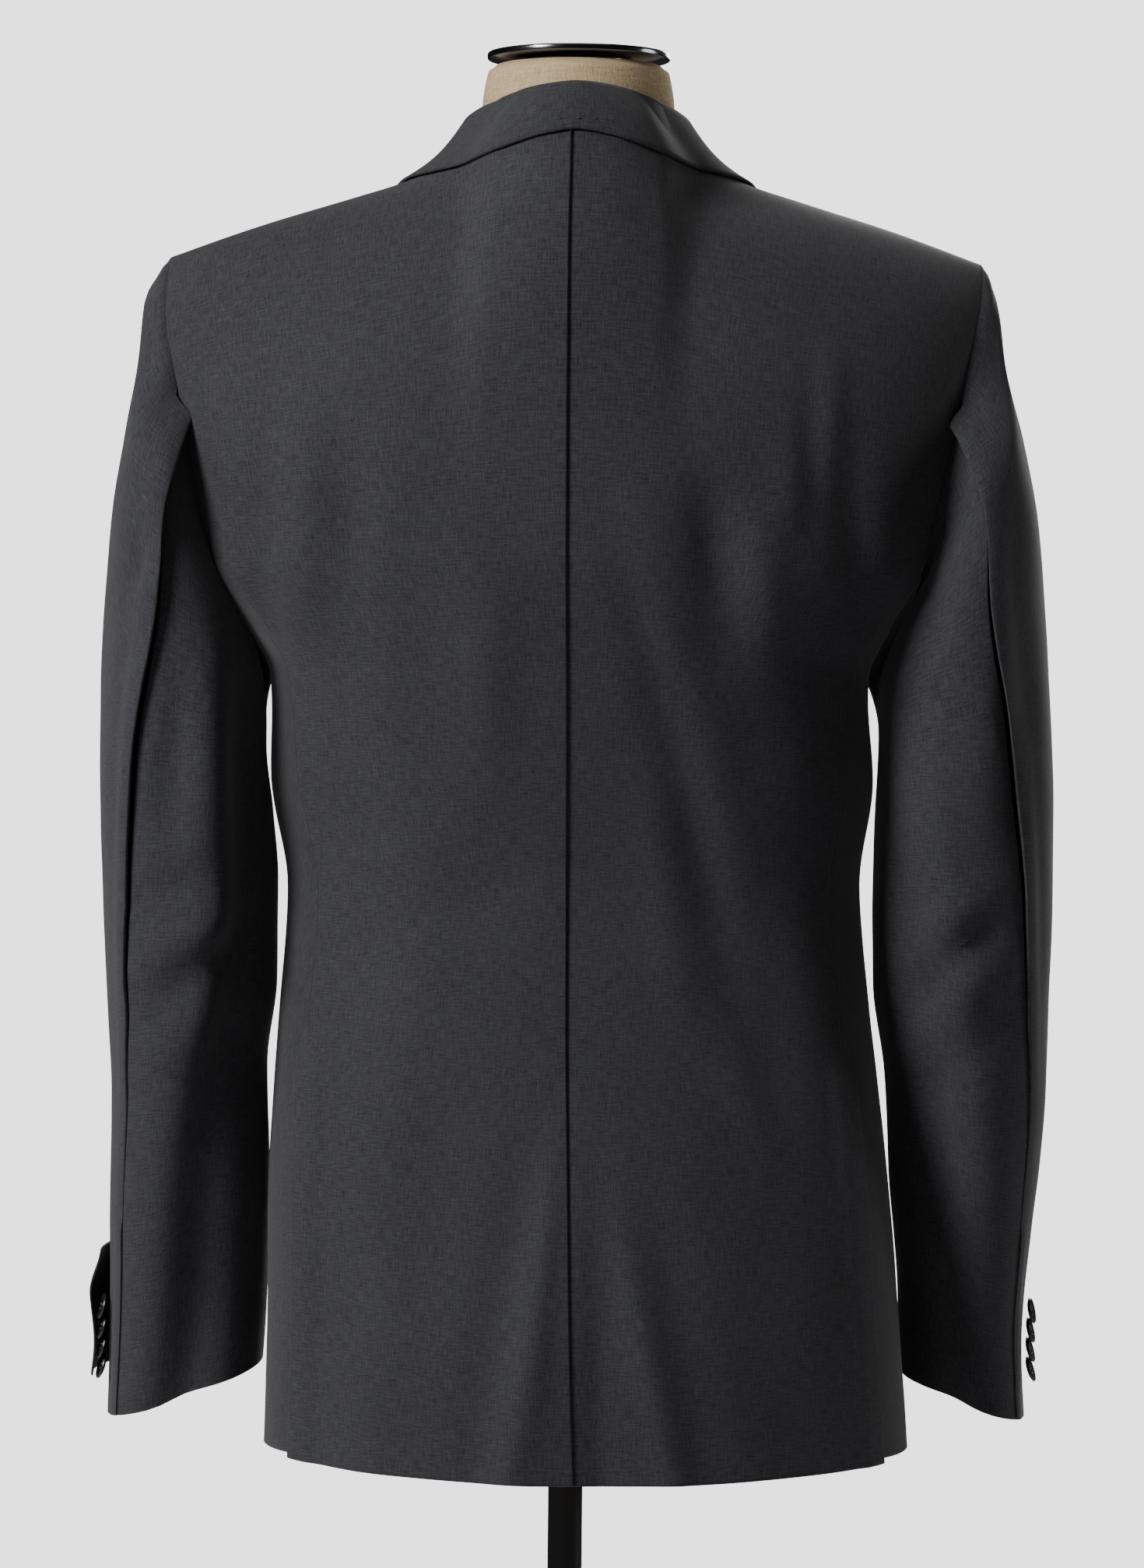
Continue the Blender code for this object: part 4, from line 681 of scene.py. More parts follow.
def front_over(side, share, base_y, sine):
    """One row of the front between the chest and the shoulder seam."""
    x = share * SHOULDER_TIP
    for _ in range(4):
        _, z = over(x, base_y, sine, FRONT_TOP)
        inner = front_edge(FRONT_TOP + (RIDGE_AT["z"](NECK_SIDE) - FRONT_TOP) * sine)
        x = inner + (ARMHOLE_AT["front"](z[-1]) - inner) * share
    y, z = over(x, base_y, sine, FRONT_TOP)
    return place(side, x, y + tuck(side, x), z)


def front_at(side, x, z):
    """Point of the front at a distance from the centre and a height."""
    if z <= FRONT_TOP:
        return place(side, x, depth_at(x, z, False) + tuck(side, x), z)
    sine = (z - FRONT_TOP) / (RIDGE_AT["z"](max(abs(x), NECK_SIDE)) - FRONT_TOP)
    share, _, base_y = front_shares()
    row = front_over(1, share, base_y, min(sine, 1.0))
    depth = np.interp(x, row[:, 0] - BODY_AT["shift"](z), base_y)
    y, _ = over(x, depth, min(sine, 1.0), FRONT_TOP)
    return place(side, x, y + tuck(side, x), z)


def back_at(side, x, sine):
    """Point of the back at a distance from the centre and a share of the climb."""
    z = BACK_TOP + (RIDGE_AT["z"](abs(x)) - BACK_TOP) * sine
    share = x / ARMHOLE_AT["back"](z)
    depth = depth_at(share * ARMHOLE_AT["back"](BACK_TOP), BACK_TOP, True)
    y, z = over(x, depth, sine, BACK_TOP)
    return place(side, x, y, z)


def shoulder_at(side, x, degrees):
    """Point of the cloth over the shoulder: 90 degrees is the ridge, more lies in front."""
    sine = math.sin(math.radians(degrees))
    if degrees <= 90:
        return back_at(side, x, sine)
    return front_at(side, x, FRONT_TOP + (RIDGE_AT["z"](max(x, NECK_SIDE)) - FRONT_TOP) * sine)


def unit(vectors):
    return vectors / np.linalg.norm(vectors, axis=-1, keepdims=True)


def normals(grid):
    """Unit normals of a grid of points, from its own rows and columns."""
    return unit(np.cross(np.gradient(grid, axis=1), np.gradient(grid, axis=0)))


def away_from(grid, core):
    """Normals that point away from a line or point inside."""
    found = normals(grid)
    return found if (found * (grid - core)).sum() > 0 else -found


def trunk_core(grid):
    return grid * (0, 0, 1)


def inset(grid, edges, gap=SEAM / 2):
    """Draws the named edges of a grid in along the cloth, for the seam's gap."""
    moved = grid.copy()
    for edge in edges:
        line, beside = {
            "left": ((slice(None), 0), (slice(None), 1)),
            "right": ((slice(None), -1), (slice(None), -2)),
            "bottom": ((0,), (1,)),
            "top": ((-1,), (-2,)),
        }[edge]
        moved[line] += unit(grid[beside] - grid[line]) * gap
    return moved


def name_of(side):
    return "left" if side > 0 else "right"


def armhole_loop(grids, outward):
    """The armhole's corners from the tip down the back, under the arm and up the front,
    each with the cloth's normal and the direction that leaves the panel."""
    climb = len(OVER_ROWS)
    across = len(SIDE_COLUMNS)
    stops = [[("back", -1 - k, -1)] for k in range(climb)]
    stops += [[("side", -1, k)] for k in range(across)]
    stops += [[("front", -climb + k, -1)] for k in range(climb - 1)]
    stops[climb].append(("back", -1 - climb, -1))
    stops[climb + across - 1].append(("front", -1 - climb, -1))
    loop = []
    for stop in stops:
        leaves = []
        for panel, row, column in stop:
            grid = grids[panel]
            here = grid[row, column]
            normal = outward[panel][row, column]
            beside = grid[row - 1, column] if panel == "side" else grid[row, column - 1]
            leave = here - beside
            leaves.append(unit(leave - normal * leave.dot(normal)))
        loop.append((here, normal, unit(sum(leaves))))
    return loop


def tube_at(side, angle, z):
    """Point of the sleeve's tube at an angle from its outer side, its cuff tilted."""
    arm = name_of(side)
    outer = SLEEVE_AT["outer_" + arm](z)
    inner = SLEEVE_AT["inner_" + arm](z)
    behind = SLEEVE_AT["behind"](z)
    before = SLEEVE_AT["before"](z)
    cosine = np.cos(angle)
    sine = np.sin(angle)
    reach = (np.abs(cosine) ** SLEEVE_POWER + np.abs(sine) ** SLEEVE_POWER) ** (-1 / SLEEVE_POWER)
    out = (outer - inner) / 2 * reach * cosine
    back = (behind - before) / 2 * reach * sine
    lean = (out * CUFF_TILT[0] + back * CUFF_TILT[1]) * smooth(SLEEVE_FULL, CUFF, z)
    return points(side * ((outer + inner) / 2 + out), (behind + before) / 2 + back, z + lean)


def level_angle(y, z):
    """Angle round the sleeve's outer half at which the tube lies as far back as y."""
    behind = SLEEVE_AT["behind"](z)
    before = SLEEVE_AT["before"](z)
    share = (y - (behind + before) / 2) / ((behind - before) / 2)
    part = np.clip(np.abs(share), 0, 0.985) ** SLEEVE_POWER
    return np.sign(share) * np.arctan((part / (1 - part)) ** (1 / SLEEVE_POWER))


def sleeve_grid(side, loop):
    """Rows from the armhole to the cuff, columns all round from the tip over the back."""
    heads = np.array([corner[0] for corner in loop])
    middle = (heads.max(axis=0) + heads.min(axis=0)) / 2
    angle = np.unwrap(np.arctan2(heads[:, 1] - middle[1], heads[:, 2] - middle[2]))
    angle -= angle[0]
    start = heads + np.array([corner[2] for corner in loop]) * SEAM
    rows = []
    for row in CAP_ROWS:
        rows.append(cap_row(side, angle, start, heads, row))
    for row in TUBE_ROWS:
        z = SLEEVE_FULL + (CUFF - SLEEVE_FULL) * row
        rows.append(tube_at(side, turned(angle, z), np.full(len(angle), z)))
    grid = np.array(rows)
    return np.concatenate([grid, grid[:, :1]], axis=1)


def turned(angle, z):
    """Moves the columns round the tube so that the seams keep to their lines."""
    back = angle[BACK_SEAM_ROW]
    front = angle[FRONT_SEAM_ROW]
    new_back = np.radians(BACK_SEAM_AT(z))
    new_front = math.radians(FRONT_SEAM_ANGLE)
    full = 2 * math.pi
    known = (front - full, back, front, back + full)
    moved = (new_front - full, new_back, new_front, new_back + full)
    return np.interp(angle, known, moved)


def cap_row(side, angle, start, heads, row):
    """A row near the armhole: it leaves the seam and swells out to the tube."""
    height = heads[:, 2]
    z = height + (SLEEVE_FULL - height) * row
    spread = HEAD_DROP + HEAD_DROP_MORE * smooth(0.0, HEAD_DROP_RUN, height.max() - height)
    leave = np.clip((height - z) / spread, 0, 1)
    swell = (1 - (1 - leave) ** HEAD_SWELL)[:, None]
    around = np.array([turned(angle, value)[k] for k, value in enumerate(z)])
    level = level_angle(heads[:, 1], z)
    level += 2 * math.pi * np.round((around - level) / (2 * math.pi))
    keep = smooth(*HEAD_LEVEL, height) * (1 - smooth(0.0, HEAD_LEVEL_ROWS, row))
    around = around + (level - around) * keep
    full = np.array([tube_at(side, a, value) for a, value in zip(around, z)])
    drop = (z - height)[:, None] * (1 - swell) * (0, 0, 1)
    return start + (full - start) * swell + drop


# ---------------------------------------------------------------- cloth in detail
def arc(grid, axis):
    """Distance along each row or column of a grid from its first point."""
    steps = np.linalg.norm(np.diff(grid, axis=axis), axis=-1)
    start = np.zeros_like(np.take(steps, [0], axis=axis))
    return np.cumsum(np.concatenate([start, steps], axis=axis), axis=axis)


def near_edge(grid, edge):
    """Distance of every point of a grid from one of its edges, along the cloth."""
    along = arc(grid, 1 if edge in ("left", "right") else 0)
    if edge == "left" or edge == "bottom":
        return along
    return (along[:, -1:] if edge == "right" else along[-1:]) - along


def relief(grid, outward, folds):
    """Height of the named folds at every point. Each row is one soft fold as seen from
    behind or from the front: a bent line, its half width and its height. It fades out
    toward both ends, and on cloth that faces another way."""
    total = np.zeros(grid.shape[:2])
    for row in folds:
        fold = dict(zip(CREASE_COLUMNS, row))
        ends = np.array([(fold["x1"], fold["z1"]), (fold["x2"], fold["z2"]), (fold["x3"], fold["z3"])])
        lengths = np.linalg.norm(np.diff(ends, axis=0), axis=1)
        nearest = np.full(total.shape, 1e9)
        share = np.zeros(total.shape)
        for k in range(2):
            step = ends[k + 1] - ends[k]
            away = grid[..., (0, 2)] - ends[k]
            t = np.clip((away @ step) / (step @ step), 0, 1)
            gap = np.linalg.norm(away - t[..., None] * step, axis=-1)
            closer = gap < nearest
            nearest = np.where(closer, gap, nearest)
            share = np.where(closer, (lengths[:k].sum() + t * lengths[k]) / lengths.sum(), share)
        fade = np.sin(math.pi * np.clip(share, *CREASE_ENDS)) ** CREASE_TAPER
        if fold["z3"] < HEM_FOLD:
            fade = np.where(share > 0.5, 1.0, fade)
        facing = smooth(*CREASE_FACING, outward[..., 1] * fold["faces"])
        total += fold["height"] * fade * facing * np.exp(-((nearest / fold["half"]) ** 2))
    return total


def ripple(grid, seed):
    """A very slight unevenness all over, as pressed cloth has."""
    x, y, z = grid[..., 0], grid[..., 1], grid[..., 2]
    total = np.zeros(grid.shape[:2])
    for k, (wide, tall, size) in enumerate(RIPPLES):
        turn = seed + 1.7 * k
        across = (x * math.cos(turn) + y * math.sin(turn)) / wide
        total += size * np.sin(2 * math.pi * across + turn) * np.sin(2 * math.pi * z / tall + 2.3 * turn)
    return total


def rimmed(grid, outward, edges):
    """A grid and its normals with narrow rows or columns added beside the named edges, for
    the sharp dip of a seam."""
    for edge in edges:
        axis = 1 if edge in ("left", "right") else 0
        first, second = (0, 1) if edge in ("left", "bottom") else (-1, -2)
        made = []
        for field in (grid, outward):
            ends = [np.take(field, [place], axis=axis) for place in (first, second)]
            made.append([ends[0] + (ends[1] - ends[0]) * share for share in RIM_SHARES])
        spot = 1 if first == 0 else grid.shape[axis] - 1
        new_grid, new_out = (m if first == 0 else m[::-1] for m in made)
        before, after = np.split(grid, [spot], axis=axis)
        grid = np.concatenate([before, *new_grid, after], axis=axis)
        before, after = np.split(outward, [spot], axis=axis)
        outward = unit(np.concatenate([before, *new_out, after], axis=axis))
    return grid, outward


def dress(grid, outward, sewn=(), pressed=(), folds=(), seed=0.0):
    """Gives a smooth panel its folds, its slight unevenness, and the dip of its seams."""
    settings = bpy.context.scene.blazer_sizes
    moved = ripple(grid, seed) + relief(grid, outward, folds) * settings.fold_strength
    for edge in sewn:
        away = near_edge(grid, edge)
        moved *= smooth(0.0, SEAM_CALM, away)
        moved -= settings.seam_depth * (1 - smooth(0.0, SEAM_DIP, away))
    for edge in pressed:
        away = near_edge(grid, edge)
        moved *= smooth(0.0, SEAM_CALM, away)
    return grid + outward * moved[..., None]


def cloth(name, grid, outward, cover, free=(), wall=WALL, nodes=()):
    """A thin shell on a grid: outer and inner skin, rounded along its free edges. Its UV map
    counts metres of cloth across and along the grain."""
    rows, columns = grid.shape[:2]
    inner = grid - outward * wall
    corners = [*grid.reshape(-1, 3), *inner.reshape(-1, 3)]
    count = rows * columns
    across = np.broadcast_to(arc(grid, 1).mean(axis=0), (rows, columns)).ravel()
    along = np.broadcast_to(arc(grid, 0).mean(axis=1)[:, None], (rows, columns)).ravel()
    places = list(zip(across, along)) * 2
    index = np.arange(count).reshape(rows, columns)
    quads = np.stack([index[:-1, :-1], index[:-1, 1:], index[1:, 1:], index[1:, :-1]], axis=-1)
    faces = [tuple(quad) for quad in quads.reshape(-1, 4)]
    faces += [tuple(count + i for i in reversed(face)) for face in faces]
    edges = {"bottom": index[0], "right": index[:, -1], "top": index[-1, ::-1], "left": index[::-1, 0]}
    beside = {"bottom": index[1], "right": index[:, -2], "top": index[-2, ::-1], "left": index[::-1, 1]}
    for edge, line in edges.items():
        swell = wall * EDGE_ROUND if edge in free else 0.0
        flat = grid.reshape(-1, 3)
        past = unit(flat[line] - flat[beside[edge]]) * swell
        rim = (flat[line] + inner.reshape(-1, 3)[line]) / 2 + past
        first = len(corners)
        corners += list(rim)
        places += [places[i] for i in line]
        for k in range(len(line) - 1):
            a, b = line[k], line[k + 1]
            faces.append((b, a, first + k, first + k + 1))
            faces.append((first + k + 1, first + k, count + a, count + b))
    made = mesh_object(name, corners, faces, cover, math.radians(CLOTH_SHARP), merge=1e-7, places=places)
    for node in nodes:
        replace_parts(made, node)
    return made


def mesh_object(name, corners, faces, cover, crease=0.6, merge=0.0, places=None):
    """A finished piece: its place is in its mesh, its faces point outward, and it goes with
    the part's one body."""
    mesh = bpy.data.meshes.new(name)
    mesh.from_pydata([tuple(float(v) for v in corner) for corner in corners], [], faces)
    if places is not None:
        layer = mesh.uv_layers.new(name="cloth")
        loop_vertex = np.empty(len(mesh.loops), np.int32)
        mesh.loops.foreach_get("vertex_index", loop_vertex)
        layer.data.foreach_set("uv", np.array(places, np.float32)[loop_vertex].ravel())
    work = bmesh.new()
    work.from_mesh(mesh)
    if merge:
        bmesh.ops.remove_doubles(work, verts=work.verts, dist=merge)
    bmesh.ops.recalc_face_normals(work, faces=work.faces)
    if work.calc_volume(signed=True) < 0:
        bmesh.ops.reverse_faces(work, faces=work.faces)
    work.to_mesh(mesh)
    work.free()
    mesh.shade_smooth()
    mesh.set_sharp_from_angle(angle=crease)
    mesh.materials.append(cover)
    made = bpy.data.objects.new(name, mesh)
    bpy.context.scene.collection.objects.link(made)
    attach(made, "root")
    return made


def stack(name, rings, ends, cover, crease=0.6):
    """A closed solid from rings of points with a point in the middle of each end."""
    steps = len(rings[0])
    corners = np.concatenate([[ends[0]], *rings, [ends[1]]])
    last = len(corners) - 1
    faces = []
    for k in range(steps):
        n = (k + 1) % steps
        faces.append((0, 1 + n, 1 + k))
        faces.append((last, last - steps + k, last - steps + n))
        for ring in range(len(rings) - 1):
            a = 1 + ring * steps
            faces.append((a + k, a + n, a + steps + n, a + steps + k))
    return mesh_object(name, corners, faces, cover, crease)


def rounded(profile, radius, steps=4):
    """A lathe profile with each of its inner corners rounded off."""
    made = [profile[0]]
    for before, corner, after in zip(profile[:-2], profile[1:-1], profile[2:]):
        before, corner, after = (np.array(p, float) for p in (before, corner, after))
        room = min(radius, np.linalg.norm(before - corner) / 2, np.linalg.norm(after - corner) / 2)
        start = corner + unit(before - corner) * room
        end = corner + unit(after - corner) * room
        for t in np.linspace(0, 1, steps + 1):
            made.append(tuple(start * (1 - t) ** 2 + 2 * corner * t * (1 - t) + end * t**2))
    made.append(profile[-1])
    return made


def lathe(name, profile, cover, y=0.0, steps=96, crease=0.6):
    """A turned solid from (radius, height) points, the first and last of them on its axis."""
    around = np.arange(steps) * 2 * math.pi / steps
    rings = []
    for radius, height in profile[1:-1]:
        rings.append(points(radius * np.cos(around), y + radius * np.sin(around), height))
    ends = [(0.0, y, height) for _, height in (profile[0], profile[-1])]
    return stack(name, rings, ends, cover, crease)


# ---------------------------------------------------------------- trunk panels
def vent_start(z):
    """1 along the vent, 0 above it."""
    return 1 - smooth(VENT_TOP - VENT_RUN, VENT_TOP + VENT_RUN, z)


def back_grid(side):
    """Rows from the hem up to the ridge, columns from the centre back to the side. Along
    the vent the panel laps over the side panel and stands off it."""
    ridge_x = np.concatenate([NECK_COLUMNS[:-1], SHOULDER_COLUMNS])
    top_centre = side * (BODY_AT["centre_back"](1.52) - BODY_AT["shift"](1.52))
    share = (ridge_x - top_centre) / (SHOULDER_TIP - top_centre)
    share[0] = 0.0
    centre = side * (BODY_AT["centre_back"](BACK_TOP) - BODY_AT["shift"](BACK_TOP))
    base_x = centre + (ARMHOLE_AT["back"](BACK_TOP) - centre) * share
    base_y = depth_at(base_x, BACK_TOP, True)
    angle = np.arctan2(base_x, base_y)
    turn = (angle - angle[0]) / (angle[-1] - angle[0])
    low = BACK_HEM + BACK_HEM_RISE * turn**2
    rows = []
    for row in LOW_ROWS:
        z = low + (BACK_TOP - low) * row
        inner = side * (BODY_AT["centre_back"](z) - BODY_AT["shift"](z))
        first = np.arctan2(inner, BODY_AT["back"](z))
        seam = seam_angle(z)
        width = BODY_AT["half_width"](z)
        open_here = vent_start(z)
        around = first + (seam + VENT_LAP / width * open_here - first) * turn
        x, y = section(around, z)
        stood = smooth(seam - 3 * VENT_SET / width, seam - VENT_SET / width, around)
        lift = VENT_STEP * open_here * stood
        x = x + lift * np.sin(around)
        y = y + lift * np.cos(around) + fold_relief(side * x, z) * (1 - turn**4)
        rows.append(place(side, x, y, z))
    for degrees in OVER_ROWS:
        sine = math.sin(math.radians(degrees))
        x = ridge_x
        for _ in range(4):
            _, z = over(x, base_y, sine, BACK_TOP)
            inner = side * (BODY_AT["centre_back"](z) - BODY_AT["shift"](z))
            x = inner + (ARMHOLE_AT["back"](z[-1]) - inner) * share
        y, z = over(x, base_y, sine, BACK_TOP)
        y = y + fold_relief(side * x, z) * (1 - turn**4) * (1 - sine)
        rows.append(place(side, x, y, z))
    return np.array(rows)


def trunk_grids(side):
    """The back, side and front panels. Their normals agree along each seam, so that the
    walls on its two sides stay parallel."""
    grids = {"back": back_grid(side), "side": side_grid(side), "front": front_grid(side)}
    outward = {name: away_from(grid, trunk_core(grid)) for name, grid in grids.items()}
    low = len(LOW_ROWS)
    for panel, column in (("back", 0), ("front", -1)):
        edge = outward[panel][:low, -1] + outward["side"][:, column]
        outward[panel][:low, -1] = unit(edge)
        outward["side"][:, column] = unit(edge)
    neck = len(NECK_COLUMNS) - 1
    outward["back"][:, 0, 0] = 0.0
    outward["back"][-1, :neck] = outward["back"][-2, :neck]
    outward["back"][-1, neck:, 1] = 0.0
    outward["front"][-1, :, 1] = 0.0
    for name in grids:
        outward[name] = unit(outward[name])
    return grids, outward


def front_dress(side, grid, outward):
    """The front panel with its folds and the dip beside its edge."""
    return dress(grid, outward, ("right", "top"), ("left",), FRONT_CREASES, 2.0 + side)


def make_trunk(side, suiting):
    grids, outward = trunk_grids(side)
    arm = name_of(side)
    sewn = {"back": ("left", "right", "top"), "side": ("left", "right"), "front": ("right", "top")}
    for name, edges in sewn.items():
        grids[name], outward[name] = rimmed(grids[name], outward[name], edges)
    dressed = {
        "back": dress(grids["back"], outward["back"], ("left", "right", "top"), (), BACK_CREASES, side),
        "side": dress(grids["side"], outward["side"], ("left", "right", "top"), (), (), 4.0 + side),
        "front": front_dress(side, grids["front"], outward["front"]),
    }
    free = {"back": ("bottom",), "side": ("bottom",), "front": ("bottom", "left")}
    for name, grid in dressed.items():
        cloth(
            f"cloth_{name}_{arm}", inset(grid, sewn[name]), outward[name], suiting, free[name],
            nodes=(f"{name}_{arm}",),
        )


# ---------------------------------------------------------------- sleeves
def sleeve_skin(side):
    """The sleeve's grid and normals after its folds."""
    grids, outward = trunk_grids(side)
    loop = armhole_loop(grids, outward)
    grid = sleeve_grid(side, loop)
    facing = away_from(grid, grid.mean(axis=1, keepdims=True))
    facing[:, 0] = unit(facing[:, 0] + facing[:, -1])
    facing[:, -1] = facing[:, 0]
    facing[0, :-1] = [corner[1] for corner in loop]
    facing[0, -1] = facing[0, 0]
    settled = smooth(0.0, SLEEVE_SETTLE, arc(grid, 0))
    height = relief(grid, facing, SLEEVE_CREASES) * bpy.context.scene.blazer_sizes.fold_strength
    height += ripple(grid, 7.0 + side)
    roping = SLEEVE_ROPE * np.sin(math.pi * np.clip(arc(grid, 0) / ROPE_WIDE, 0, 1))
    crown = smooth(*ROPE_HEIGHTS, grid[:1, :, 2])
    grid = grid + facing * (height * settled + roping * crown)[..., None]
    return grid, facing


def make_sleeve(side, suiting):
    """The top and under sleeve, cut along the two seams of one tube. By the cuff's vent the
    top sleeve's edge lies over the under sleeve's."""
    grid, outward = sleeve_skin(side)
    count = grid.shape[1] - 1
    under = np.arange(BACK_SEAM_ROW, FRONT_SEAM_ROW + 1)
    upper = np.arange(FRONT_SEAM_ROW, BACK_SEAM_ROW + count + 1) % count
    arm = name_of(side)
    for part, columns in (("under", under), ("top", upper)):
        piece = grid[:, columns]
        piece, facing = rimmed(piece, outward[:, columns], ("left", "right"))
        back_edge = near_edge(piece, "left" if part == "under" else "right")
        front_edge_gap = near_edge(piece, "right" if part == "under" else "left")
        vent = 1 - smooth(CUFF_VENT_TOP - CUFF_VENT_RUN, CUFF_VENT_TOP, piece[..., 2])
        dip = bpy.context.scene.blazer_sizes.seam_depth
        sunk = dip * (1 - smooth(0.0, SEAM_DIP, back_edge)) * (1 - vent)
        sunk += dip * (1 - smooth(0.0, SEAM_DIP, front_edge_gap))
        if part == "top":
            sunk -= CUFF_VENT_LIFT * vent * (1 - smooth(*CUFF_VENT_EDGE, back_edge))
            corner = 1 - smooth(piece[:1, :, 2], CUFF_CORNER_TOP, piece[..., 2])
            sunk -= CUFF_CORNER_LIFT * corner * (1 - smooth(0.0, CUFF_CORNER_WIDE, back_edge))
        piece = piece - facing * sunk[..., None]
        cloth(
            f"cloth_sleeve_{part}_{arm}", inset(piece, ("left", "right")), facing, suiting,
            ("bottom",), nodes=(f"sleeve_{part}_{arm}",),
        )


# ---------------------------------------------------------------- collar, lapels, flaps
def collar_column(side, station):
    """One section of the collar, from its seam over the roll to the end of its fall."""
    read = {name: float(COLLAR_AT[name](station)) for name in COLLAR_COLUMNS[1:]}
    if station <= 1:
        x = float(np.interp(station * 5, np.linspace(0, 5, len(NECK_COLUMNS)), NECK_COLUMNS))
        seam = place(side, x, RIDGE_AT["y"](x), RIDGE_AT["z"](x))
    else:
        ridge_z = float(RIDGE_AT["z"](NECK_SIDE))
        z = ridge_z + (GORGE - ridge_z) * (station - 1)
        seam = front_at(side, float(front_edge(z)), z)
    rise = np.array((side * read["rise_x"], read["rise_y"], read["rise_z"]))
    roll = seam + rise
    end = shoulder_at(side, read["fall_x"], read["fall_angle"])
    ahead = shoulder_at(side, read["fall_x"] + COLLAR_PROBE[0], read["fall_angle"])
    above = shoulder_at(side, read["fall_x"], read["fall_angle"] - COLLAR_PROBE[1])
    lift = unit(np.cross(ahead - end, above - end))
    if lift.dot(end - (0, 0, 1.30)) < 0:
        lift = -lift
    end = end + lift * (WALL + LAYER)
    up = unit(rise)
    out = end - roll
    out = unit(out - up * out.dot(up))
    turn_start = roll - up * CREASE * COLLAR_TURN_START
    foot = seam + up * COLLAR_START
    path = [foot + (turn_start - foot) * share for share in np.linspace(0, 1, 7)[:-1]]
    for degrees in np.linspace(0, COLLAR_TURN, 13):
        a = math.radians(degrees)
        path.append(turn_start + (out * (1 - math.cos(a)) + up * math.sin(a)) * CREASE)
    roll_end = path[-1]
    for share in np.linspace(0, 1, 15)[1:]:
        hug = COLLAR_HUG * smooth(*HUG_GROWS, station) * (1 - smooth(*HUG_FADES, station))
        bulge = lift * (read["swell"] - hug) * math.sin(math.pi * share)
        path.append(roll_end + (end - roll_end) * share + bulge)
    return path


def collar_skin():
    """The collar's grid and outward normals, from the left gorge round to the right one."""
    stations = np.concatenate([np.linspace(2.0, 1.0, 26), np.linspace(1.0, 0.0, 31)[1:]])
    columns = [collar_column(1, s) for s in stations]
    columns += [collar_column(-1, s) for s in stations[-2::-1]]
    grid = np.array(columns).transpose(1, 0, 2)
    for _ in range(3):
        grid[:, 1:-1] = (grid[:, :-2] + 2 * grid[:, 1:-1] + grid[:, 2:]) / 4
    outward = normals(grid)
    middle = grid[-2, grid.shape[1] // 2]
    if outward[-2, grid.shape[1] // 2].dot(middle - (0, 0, 1.40)) < 0:
        outward = -outward
    return grid, outward


def make_collar(suiting):
    grid, outward = collar_skin()
    cloth(
        "cloth_collar", grid, outward, suiting, ("top", "left", "right"), nodes=("collar",),
    )


def lapel_skin(side):
    """The lapel's grid and outward normals, from the break up to the notch."""
    alongs = np.linspace(0, 1, 49)
    shares = np.linspace(0, 1, 29)
    rows = []
    for along in alongs:
        inner_z = BREAK + (GORGE - BREAK) * along
        inner_x = float(front_edge(inner_z))
        outer_x = float(LAPEL_AT["x"](along))
        outer_z = float(LAPEL_AT["z"](along))
        row = []
        for share in shares:
            x = inner_x + (outer_x - inner_x) * share
            z = inner_z + (outer_z - inner_z) * share
            row.append(front_at(side, x, z))
        rows.append(row)
    grid = np.array(rows)
    outward = away_from(grid, trunk_core(grid))
    proud = track(*LAPEL_SWELL)(shares) * smooth(*LAPEL_PROUD, alongs)[:, None]
    lifted = grid + outward * (WALL + LAYER + proud)[..., None]
    return inset(lifted, ("top",), GORGE_GAP), outward


def make_lapel(side, suiting):
    grid, outward = lapel_skin(side)
    arm = name_of(side)
    grid = grid + outward * (ripple(grid, 11.0 + side) * LAPEL_RIPPLE)[..., None]
    cloth(
        f"cloth_lapel_{arm}", grid, outward, suiting, ("top", "right", "bottom", "left"),
        nodes=(f"lapel_{arm}",),
    )


def make_flap(side, suiting):
    """The flap of a hip pocket, standing off a little toward its lower edge."""
    rows = []
    for drop in np.linspace(0.0, 1.0, 19):
        row = []
        for share in np.linspace(0, 1, 57):
            angle = math.radians(FLAP_ANGLES[0] + (FLAP_ANGLES[1] - FLAP_ANGLES[0]) * share)
            past = max(0.0, abs(share - 0.5) * 2 - 1 + FLAP_ROUND) / FLAP_ROUND
            corner = FLAP_CORNER * (1 - math.sqrt(1 - min(1.0, past) ** 2))
            z = FLAP_TOP[0] + (FLAP_TOP[1] - FLAP_TOP[0]) * share - (FLAP_DEPTH - corner) * drop
            x, y = section(angle, z)
            off = WALL + LAYER + FLAP_FLARE * drop**FLAP_CURVE
            x = x + off * math.sin(angle)
            row.append(place(side, x, y + off * math.cos(angle), z))
        rows.append(row)
    grid = np.array(rows)
    arm = name_of(side)
    cloth(
        f"cloth_flap_{arm}", grid, away_from(grid, trunk_core(grid)), suiting,
        ("top", "left", "right"), nodes=(f"pocket_flap_{arm}",),
    )


